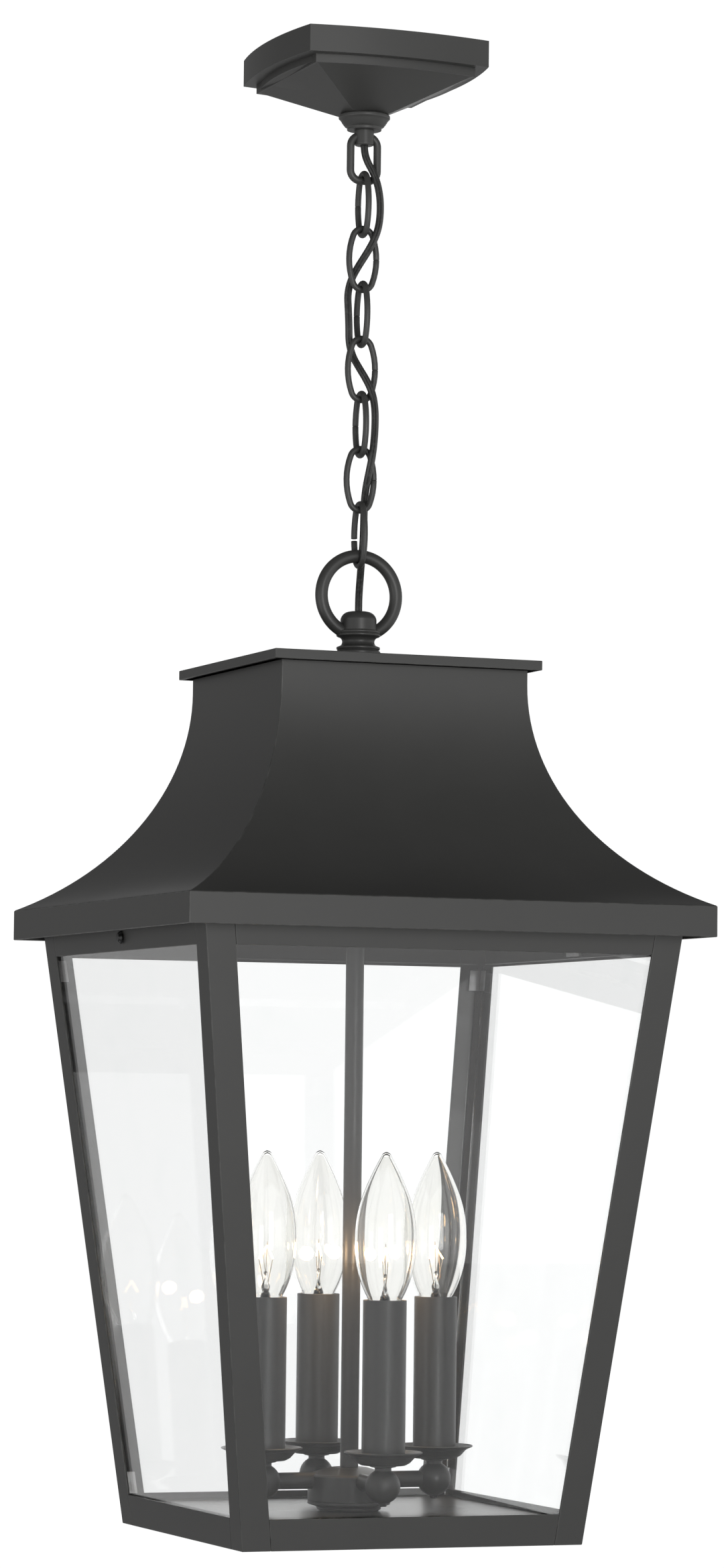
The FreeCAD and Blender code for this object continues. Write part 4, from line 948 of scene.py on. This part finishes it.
@dataclass
class Roof(Assembly):
    """Hanging ring, turned neck, flat cap and swept roof, with the crossbar and stem inside."""

    cap_over_base: float = 485.0
    ring_wire: float = 7.2
    ring_outside: float = 52.2
    ring_over_cap: float = 39.6
    ring_opening: float = 26.0
    neck_foot: float = 12.6
    neck_foot_height: float = 11.2
    neck_waist: float = 10.2
    neck_collar: float = 12.4
    neck_collar_height: float = 16.2
    neck_dome: float = 10.2
    neck_height: float = 30.6
    stem_bore: float = 5.25
    cord_bore: float = 2.3
    cap_width: float = 158.0
    cap_height: float = 5.4
    sheet: float = 1.2
    top_half: float = 72.8
    straight: float = 8.0
    eave_half: float = 152.4
    eave_level: float = 331.3
    fascia: float = 17.0
    lip_drop: float = 3.7
    soffit_half: float = 126.0
    arc_steps: int = 30

    def build(self) -> None:
        """Build the new pieces and dress the carried-over ones."""
        self.ring()
        self.neck()
        self.cap()
        self.shell()
        self.dress(ZINC, "crossbar", "stem_nuts")
        self.dress(PAINT, "stem_tube")
        self.dress(BLACK_SCREW, "crossbar_screws")

    def ring(self) -> None:
        """The hanging ring, open where it enters the neck."""
        centre = (0, 0, BASE_LEVEL + self.cap_over_base + self.ring_over_cap)
        wire = WireForm(self.ring_wire / 2, ((self.ring_outside - self.ring_wire) / 2, 0, centre[2]),
                        segments=24)
        rotate(wire.form, 90 - self.ring_opening / 2, "Y", centre)
        wire.turn(centre, 360 - self.ring_opening, 72)
        cover(wire.form, wire.first, wire.last)
        self.add(wire.form, "hanging_ring", WIRE_PAINT, "top_ring", smooth_below=60.0, weighted=False)

    def neck(self) -> None:
        """The turned neck: foot, waist, double collar and dome."""
        low, mid, top = self.neck_foot_height, self.neck_collar_height, self.neck_height
        foot, collar, dome = self.neck_foot, self.neck_collar, self.neck_dome
        waist_start, waist_end = (self.neck_waist, low), (collar - 0.8, mid)
        dome_start, dome_end = (dome, top - 4.6), (self.cord_bore + 2.2, top)
        form = lathe([(self.stem_bore, 0), (foot, 0), (foot, low - 3.4), (foot - 0.9, low - 2.6),
                      (foot - 0.3, low - 1.8), (foot - 0.3, low - 0.8), waist_start,
                      *arc(waist_start, waist_end, 2.8, -1, 6), waist_end, (collar, mid + 0.5),
                      (collar, mid + 1.4), (collar - 0.8, mid + 1.8), (collar - 0.2, mid + 2.3),
                      (collar - 0.2, mid + 3.2), (dome, mid + 3.8), dome_start,
                      *arc(dome_start, dome_end, 5.5, 1, 8), dome_end, (self.cord_bore, top),
                      (self.cord_bore, low + 0.6), (self.stem_bore, low + 0.6)],
                     base=BASE_LEVEL + self.cap_over_base)
        self.add(soften(form, 0.25), "turned_neck", WIRE_PAINT, "ring_neck")

    def square_rings(self, levels: Sequence[Point]) -> Form:
        """Stack square rings, given by half side and height above the base, and fill both ends."""
        form = bmesh.new()
        rings = [bowed_ring(form, half, 0.0, BASE_LEVEL + level, cuts=0) for half, level in levels]
        bridge(form, rings)
        cover(form, rings[0], rings[-1])
        return form

    def cap(self) -> None:
        """The flat cap, pressed like a shallow lid."""
        half, top = self.cap_width / 2, self.cap_over_base
        low = top - self.cap_height
        form = self.square_rings([(half, top), (half, low), (half - self.sheet, low),
                                  (half - self.sheet, top - self.sheet)])
        self.add(soften(form, 0.45, segments=3), "flat_cap", PAINT, "cap_plate")

    def shell(self) -> None:
        """The swept roof with its fascia, turned-in lip and inner face."""
        arc_top = self.cap_over_base - self.cap_height - self.straight
        fascia_top = self.eave_level + self.fascia
        wide, high = self.eave_half - self.top_half, arc_top - fascia_top
        radius = (wide ** 2 + high ** 2) / (2 * wide)
        upper, lower = (self.top_half, arc_top), (self.eave_half, fascia_top)
        in_radius = radius + self.sheet
        in_top, in_eave = self.top_half - self.sheet, self.eave_half - self.sheet
        in_fascia = arc_top - math.sqrt(in_radius ** 2 - (radius - wide + self.sheet) ** 2)
        in_upper, in_lower = (in_top, arc_top), (in_eave, in_fascia)
        roof_top = self.cap_over_base - self.sheet
        lip = self.eave_level + self.lip_drop
        form = self.square_rings([
            (self.top_half, roof_top), upper, *arc(upper, lower, radius, 1, self.arc_steps), lower,
            (self.eave_half, self.eave_level), (in_eave, self.eave_level), (in_eave, lip),
            (self.soffit_half, lip), (self.soffit_half, lip + self.sheet), (in_eave, lip + self.sheet),
            in_lower, *arc(in_lower, in_upper, in_radius, -1, self.arc_steps), in_upper,
            (in_top, roof_top - self.sheet)])
        soften(form, 0.55, segments=3, sharper_than=24.0)
        self.add(form, "swept_roof", PAINT, "roof_shell", smooth_below=35.0)


@dataclass
class GlazedBody(Assembly):
    """Tapered frame of folded posts and rails with its four panes and base plate."""

    half: float = 98.8
    flare: float = 39.3 / 331.3
    frame_top: float = 335.0
    leg: float = 16.6
    thick: float = 1.5
    base_rail: float = 17.0
    top_rail_low: float = 321.3
    plate_bottom: float = 11.8
    flange: float = 11.0
    glass_low: float = 13.2
    glass_high: float = 323.5
    glass_thick: float = 2.5
    glass_gap: float = 0.15
    glass_lap: float = 10.0

    def build(self) -> None:
        """Build the frame and panes on all sides and dress the carried-over nodes."""
        for corner in Corner:
            self.post(corner)
        for side in Side:
            self.rail(side, "base_rail", 0.0, self.base_rail)
            self.rail(side, "top_rail", self.top_rail_low, self.frame_top)
            self.pane(side)
        self.dress(GLOSS_PAINT, "base_plate")
        self.dress(ZINC, "glass_clips")

    def half_at(self, level: float) -> float:
        """Half width of the body at a height above its base."""
        return self.half + self.flare * level

    def turned(self, form: Form, place: Union[Side, Corner]) -> Form:
        """Turn a mesh to its side or corner and set it down on the body's level."""
        rotate(form, place.value)
        shift(form, 0, 0, BASE_LEVEL)
        return form

    def post(self, corner: Corner) -> None:
        """One folded angle post, leaning out with the taper."""
        out, leg, inside = -self.half, self.leg - self.half, self.thick - self.half
        lean = self.flare * self.frame_top
        form = bmesh.new()
        slab(form, [(out, out, 0), (leg, out, 0), (leg, inside, 0), (inside, inside, 0), (inside, leg, 0),
                    (out, leg, 0)], (-lean, -lean, self.frame_top))
        name = f"post_{corner.name.lower()}"
        self.add(self.turned(soften(form, 0.5, segments=3), corner), f"angle_{name}", PAINT, name)

    def rail(self, side: Side, kind: str, low: float, high: float) -> None:
        """One rail between two posts; a base rail also has the flange that carries the plate.

        Args:
            side: the side it closes.
            kind: the node's name without its side.
            low: its lower edge above the base.
            high: its upper edge above the base.
        """
        out, over = self.half_at(low), self.half_at(high)
        reach = out - self.leg
        form = bmesh.new()
        slab(form, strip(reach, -out, self.thick - out, low), (0, out - over, high - low),
             widen=(over - self.leg) / reach)
        if kind == "base_rail":
            level = self.plate_bottom - self.thick
            edge = self.half_at(level)
            slab(form, strip(edge - self.leg, self.thick / 2 - edge, self.flange - edge, level),
                 (0, 0, self.thick))
        name = f"{kind}_{side.name.lower()}"
        self.add(self.turned(soften(form, 0.4, segments=3), side), f"folded_{name}", PAINT, name)

    def pane(self, side: Side) -> None:
        """One glass pane with polished arrises."""
        low, high = self.half_at(self.glass_low), self.half_at(self.glass_high)
        trim = self.leg - self.glass_lap
        near = self.thick + self.glass_gap
        form = bmesh.new()
        slab(form, strip(low - trim, near - low, near + self.glass_thick - low, self.glass_low),
             (0, low - high, self.glass_high - self.glass_low), widen=(high - trim) / (low - trim))
        name = side.name.lower()
        self.add(self.turned(soften(form, 0.35, segments=1), side), f"pane_{name}", PANE_GLASS,
                 f"glass_{name}")


@dataclass
class Candle(Assembly):
    """One candle lamp on its arm: ball, drip pan, sleeve and torpedo bulb with its filament."""

    number: int = 1
    turn: float = 0.0
    circle: float = 51.0
    arm_level: float = 30.0
    arm_radius: float = 4.65
    hub_radius: float = 23.0
    ball: float = 9.6
    ball_neck: float = 4.6
    ball_button: float = 2.2
    pan_level: float = 41.5
    pan_rim: float = 21.5
    pan_rim_level: float = 48.6
    sleeve: float = 12.0
    sleeve_wall: float = 1.1
    sleeve_top: float = 131.6
    bulb_low: float = 129.4
    bulb: float = 16.9
    bulb_neck: float = 8.6
    bulb_belly: float = 34.0
    bulb_length: float = 81.0
    bulb_wall: float = 0.8
    shoulder: float = 0.735
    shoulder_rise: float = 0.3
    bows: tuple[float, float, float] = (0.78, 0.82, 1.9)
    tip_radius: float = 3.0
    filament_reach: float = 4.2
    filament_level: float = 21.0
    filament_peak: tuple[float, float, float] = (-0.6, 0.4, 28.2)

    def build(self) -> None:
        """Build the candle's pieces."""
        self.arm()
        self.ball_and_neck()
        self.pan()
        self.candle_sleeve()
        self.envelope()
        self.mount()
        self.filament()

    def finish(self, form: Form, kind: str, finish: Finish, *stands_for: str,
               **shading: Union[float, bool]) -> None:
        """Move a mesh drawn on the candle's own axis out to its place, as a numbered piece."""
        shift(form, self.circle, 0, BASE_LEVEL)
        rotate(form, self.turn)
        self.add(form, f"{kind}_{self.number}", finish, *stands_for, **shading)

    def arm(self) -> None:
        """The straight tube from the cluster body into the ball."""
        start, stop = self.hub_radius - 5.0 - self.circle, -self.ball * 0.6
        form = bmesh.new()
        bmesh.ops.create_cone(form, cap_ends=True, segments=40, radius1=self.arm_radius,
                              radius2=self.arm_radius, depth=stop - start)
        rotate(form, 90, "Y")
        shift(form, (start + stop) / 2, 0, self.arm_level)
        self.finish(soften(form, 0.2, sharper_than=60.0), "arm", PAINT, "cluster_arms")

    def ball_and_neck(self) -> None:
        """The turned ball with a button below and a neck above."""
        level, ball, neck, top = self.arm_level, self.ball, self.ball_neck, self.pan_level
        button, low = self.ball_button, self.arm_level - self.ball - 1.4
        dip = (button, level - math.sqrt(ball ** 2 - button ** 2))
        meet = (neck, level + math.sqrt(ball ** 2 - neck ** 2))
        form = lathe([(0, low), (button, low), dip, *arc(dip, (ball, level), ball, 1, 12), (ball, level),
                      *arc((ball, level), meet, ball, 1, 12), meet, (neck, top - 1.4),
                      (neck + 2.6, top - 0.9), (neck + 2.6, top), (0, top)], closed=False, steps=48)
        self.finish(soften(form, 0.2), "ball", PAINT, "candle_balls")

    def pan(self) -> None:
        """The flared drip pan with a rolled rim."""
        base, rim, wide, foot = self.pan_level, self.pan_rim_level, self.pan_rim, self.sleeve + 1.2
        form = lathe([(0, base), (foot - 1, base), (foot + 1.6, base + 1.4), (wide - 3.5, rim - 2.2),
                      (wide, rim - 0.6), (wide + 0.2, rim), (wide - 0.6, rim + 0.4),
                      (wide - 4.1, rim - 1.2), (foot + 0.8, base + 2.3), (foot - 0.8, base + 1),
                      (0, base + 1)], closed=False, steps=64)
        soften(form, 0.22, segments=3, sharper_than=18.0)
        self.finish(form, "drip_pan", PAINT, "drip_pans")

    def candle_sleeve(self) -> None:
        """The candle sleeve, a tube whose upper edge is rounded."""
        inner, low, high = self.sleeve - self.sleeve_wall, self.pan_level + 1, self.sleeve_top
        form = lathe([(inner, low), (self.sleeve, low), (self.sleeve, high), (inner, high)], steps=64)
        self.finish(soften(form, 0.3, segments=3), "sleeve", PAINT, "candle_sleeves")

    def outline(self, inset: float) -> Form:
        """The bulb's turned shell from its foot to its tip, inset by a wall."""
        low, belly = self.bulb_low + inset, self.sleeve_top + self.bulb_belly
        length, tip = self.bulb_length, self.sleeve_top + self.bulb_length
        foot_bow, belly_bow, crown_bow = (length * share for share in self.bows)
        shoulder = (self.bulb * self.shoulder - inset, belly + length * self.shoulder_rise)
        foot = (self.bulb_neck - inset, self.bulb_low + (2.0 if inset else 1.2))
        wide = (self.bulb - inset, belly)
        point, end = ((2.1, tip - 2.8), (0, tip - 1.3)) if inset else ((2.6, tip - 1.9), (0, tip))
        return tidied(lathe([(0, low), (self.bulb_neck - 1, low), foot,
                             *arc(foot, wide, foot_bow, 1, 14), wide,
                             *arc(wide, shoulder, belly_bow, 1, 14), shoulder,
                             *arc(shoulder, point, crown_bow, 1, 14), point,
                             *arc(point, end, self.tip_radius, 1, 4), end], closed=False))

    def envelope(self) -> None:
        """The blown envelope, a closed thin-walled shell with a drawn tip."""
        form, inner = self.outline(0.0), self.outline(self.bulb_wall)
        bmesh.ops.reverse_faces(inner, faces=inner.faces)
        absorb(form, inner)
        self.finish(form, "bulb", BULB_GLASS, "bulbs", smooth_below=70.0, weighted=False, hollow=True)

    def mount(self) -> None:
        """The pressed glass stem inside the bulb, with its flare and pinch."""
        low = self.bulb_low + self.bulb_wall + 0.3
        form = lathe([(0, 0), (4.2, 0), (3.0, 1.6), (1.9, 4.2), (1.7, 7.0), (1.1, 9.0), (0.55, 11.5),
                      (1.2, 13.0), (1.25, 14.0), (0.5, 15.2), (0, 15.3)], closed=False, steps=32, base=low)
        pinched = [vert for vert in form.verts if low + 6.5 < vert.co.z < low + 9.5]
        bmesh.ops.scale(form, vec=(1.5, 0.5, 1.0), verts=pinched)
        self.finish(form, "bulb_stem", STEM_GLASS, smooth_below=60.0, weighted=False)

    def filament(self) -> None:
        """The coiled filament between its leads, and the support wires that hold it."""
        low, reach = self.sleeve_top, self.filament_reach
        level = low + self.filament_level
        peak = Vector(self.filament_peak) + Vector((0, 0, low))
        wires, coils = bmesh.new(), bmesh.new()
        for foot, end in ((-1.4, -reach), (1.4, reach)):
            self.wire(wires, (foot, 0, low + 8.0), (end, 0, level + 0.6), 0.24)
            self.coil(coils, Vector((end, 0, level)), peak)
        self.wire(wires, (0, 0, low + 11.8), (-0.6, 0.4, low + 30.5), 0.2)
        self.wire(wires, (0, 0, low + 11.8), (1.6, -1.2, low + 25.0), 0.16)
        self.finish(wires, "support_wires", NICKEL_WIRE, weighted=False)
        self.finish(coils, "filament", FILAMENT, smooth_below=80.0, weighted=False)

    def wire(self, form: Form, start: Spot, stop: Spot, radius: float) -> None:
        """Add a straight wire between two points."""
        way = Vector(stop) - Vector(start)
        turn = Vector((0, 0, 1)).rotation_difference(way).to_matrix().to_4x4()
        bmesh.ops.create_cone(form, cap_ends=True, segments=8, radius1=radius, radius2=radius,
                              depth=way.length,
                              matrix=Matrix.Translation(Vector(start) + way / 2) @ turn)

    def coil(self, form: Form, start: Vector, stop: Vector, radius: float = 0.42, wire: float = 0.1,
             turns: int = 14) -> None:
        """Add a coil of fine wire from one point to another."""
        way, steps = stop - start, turns * 10
        section = bmesh.new()
        made = bmesh.ops.create_circle(section, cap_ends=False, radius=wire, segments=5)
        rotate(section, 90, "X")
        shift(section, radius, 0, 0)
        first = list(section.edges)
        spun = bmesh.ops.spin(section, geom=made["verts"] + first, cent=(0, 0, 0), axis=(0, 0, 1),
                              dvec=(0, 0, way.length / steps), angle=math.tau * turns, steps=steps)
        cover(section, first, edges_in(spun["geom_last"]))
        turn = Vector((0, 0, 1)).rotation_difference(way).to_matrix().to_4x4()
        bmesh.ops.transform(section, matrix=Matrix.Translation(start) @ turn, verts=section.verts)
        absorb(form, section)


@dataclass
class Cluster(Assembly):
    """The round cluster body on the base plate and the four candles round it."""

    radius: float = 23.0
    plate_top: float = 13.0
    low: float = 18.5
    high: float = 37.0
    wall: float = 2.0
    bore: float = 5.25
    turns: tuple[float, ...] = (270.0, 0.0, 90.0, 180.0)

    def build(self) -> None:
        """Build the cluster body and its candles and dress the carried-over nodes."""
        self.hub()
        self.cap()
        for number, turn in enumerate(self.turns, start=1):
            Candle(self.nodes, number, turn).build()
        self.dress(SOCKET_FINISH, "lamp_sockets")
        self.dress(BRASS, "lamp_bases")

    def hub(self) -> None:
        """The cluster body, a turned cup with a shallow crown."""
        outer, inner, low, high, wall = self.radius, self.radius - self.wall, self.low, self.high, self.wall
        bore, crown = self.bore, self.bore + 4.85
        form = lathe([(inner, low), (outer, low), (outer, high - 4.5), (outer - 1, high - 3.4),
                      (outer - 5, high - 2.2), (crown, high), (bore, high), (bore, high - wall),
                      (crown, high - wall), (inner - 5, high - wall - 2.2), (inner, high - wall - 4.5)],
                     base=BASE_LEVEL)
        self.add(soften(form, 0.4, segments=3), "cluster_body", PAINT, "cluster_hub")

    def cap(self) -> None:
        """The dished cap that closes the cluster body below."""
        base, top, wide = self.plate_top, self.low, self.radius
        form = lathe([(0, base), (wide - 7, base), (wide - 5, base + 1.2), (wide - 5, base + 2.4),
                      (wide, top - 1.6), (wide, top), (0, top)], closed=False, base=BASE_LEVEL)
        self.add(soften(form, 0.3), "cluster_cap", PAINT, "hub_cap")


@dataclass
class Studio:
    """Pale floor, soft light and the camera, in metres, degrees and watts."""

    floor_level: float = -1.25
    floor_half: float = 2.2
    distance: float = 2.8128
    sideways: float = 0.00306
    height: float = -0.608
    azimuth: float = 21.4
    pitch: float = 3.88
    roll: float = 0.67
    lens: float = 115.12
    backdrop: float = 1.04
    glow_power: float = 0.05
    glow_circle: float = 0.027
    glow_level: float = -0.680
    glow_size: float = 0.004
    glow_colour: tuple[float, float, float] = (1.0, 0.66, 0.36)
    aim_level: float = -0.45
    front_light: float = 1.15
    back_light: float = 0.35
    ceiling_light: float = 0.12
    front_to_back: Point = (-0.3, 0.75)
    level_to_top: Point = (0.02, 0.55)

    def build(self) -> None:
        """Build the studio."""
        self.floor()
        self.sky()
        self.softbox("key_softbox", (-0.1, -3.0, -0.35), (0.9, 1.6), 26.0)
        self.softbox("fill_softbox", (-2.2, -0.8, -1.0), (1.2, 1.0), 3.5)
        self.softbox("rim_softbox", (1.2, 2.4, 0.5), (1.6, 1.6), 6.0)
        self.bulb_glow()
        self.camera()

    def floor(self) -> None:
        """A plain pale floor below the hanging lantern."""
        form = bmesh.new()
        bmesh.ops.create_grid(form, x_segments=1, y_segments=1, size=self.floor_half)
        shift(form, 0, 0, self.floor_level)
        mesh_object(form, "studio_floor", StudioFloor("studio_floor"), unit=1.0)

    def sky(self) -> None:
        """A white backdrop; as a light it is brightest in front and dim overhead and behind."""
        world = bpy.data.worlds.new("studio_white")
        graph = Graph(world)
        depth, rise = (graph.node("ShaderNodeSeparateXYZ", None,
                                  {0: graph.node("ShaderNodeTexCoord", output="Generated")}, output=axis)
                       for axis in "YZ")
        glow = rise.ramp(*self.level_to_top,
                         depth.ramp(*self.front_to_back, self.front_light, self.back_light),
                         self.ceiling_light)
        seen = graph.node("ShaderNodeMath", {"operation": "MAXIMUM"},
                          {number: graph.node("ShaderNodeLightPath", output=f"Is {ray} Ray")
                           for number, ray in enumerate(("Camera", "Transmission"))})
        strength = graph.node("ShaderNodeMix", None, {"Factor": seen, "A": glow, "B": self.backdrop},
                              output="Result")
        graph.close("ShaderNodeOutputWorld", graph.node(
            "ShaderNodeBackground", None, {"Color": (1.0, 1.0, 1.0, 1.0), "Strength": strength}))
        bpy.context.scene.world = world

    def softbox(self, name: str, place: Spot, size: Spot, power: float) -> None:
        """Add a softbox that faces the lantern.

        Args:
            name: the lamp's name.
            place: where it stands.
            size: its width and height.
            power: its power in watts.
        """
        light = bpy.data.lights.new(name, "AREA")
        light.shape = "RECTANGLE"
        light.size, light.size_y = size
        light.energy = power
        holder = linked(name, light)
        holder.location = place
        aim = Vector((0, 0, self.aim_level)) - Vector(place)
        holder.rotation_euler = aim.to_track_quat("-Z", "Y").to_euler()

    def bulb_glow(self) -> None:
        """The warm light that the four bulbs throw on the stem and sleeves beside them."""
        for number in range(4):
            turn = math.tau * number / 4
            light = bpy.data.lights.new(f"bulb_glow_{number + 1}", "POINT")
            light.energy = self.glow_power
            light.color = self.glow_colour
            light.shadow_soft_size = self.glow_size
            holder = linked(light.name, light)
            holder.location = (self.glow_circle * math.cos(turn), self.glow_circle * math.sin(turn),
                               self.glow_level)
            holder.visible_camera = False

    def camera(self) -> None:
        """The camera, a little left of the front and looking slightly up."""
        azimuth, pitch, roll = (math.radians(value) for value in (self.azimuth, self.pitch, self.roll))
        level = Vector((math.sin(azimuth), math.cos(azimuth), 0))
        right = Vector((math.cos(azimuth), -math.sin(azimuth), 0))
        ahead = level * math.cos(pitch) + Vector((0, 0, math.sin(pitch)))
        upward = Vector((0, 0, math.cos(pitch))) - level * math.sin(pitch)
        tilted_right = right * math.cos(roll) + upward * math.sin(roll)
        tilted_up = upward * math.cos(roll) - right * math.sin(roll)
        data = bpy.data.cameras.new("studio_camera")
        data.lens = self.lens
        data.sensor_width = 36.0
        data.clip_start, data.clip_end = 0.05, 50.0
        holder = linked("studio_camera", data)
        place = level * -self.distance + right * self.sideways + Vector((0, 0, self.height))
        turn = Matrix((tilted_right, tilted_up, -ahead)).transposed().to_4x4()
        holder.matrix_world = Matrix.Translation(place) @ turn
        bpy.context.scene.camera = holder
        bpy.context.scene.view_settings.view_transform = "Standard"


def main() -> None:
    """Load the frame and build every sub-assembly."""
    logging.basicConfig(level=logging.INFO, format="%(name)s: %(message)s")
    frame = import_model()
    nodes = frame["nodes"]
    Canopy(nodes).build()
    Chain(nodes).build()
    SupplyCord().build()
    Roof(nodes).build()
    GlazedBody(nodes).build()
    Cluster(nodes).build()
    Studio().build()


if __name__ == "__main__":
    main()
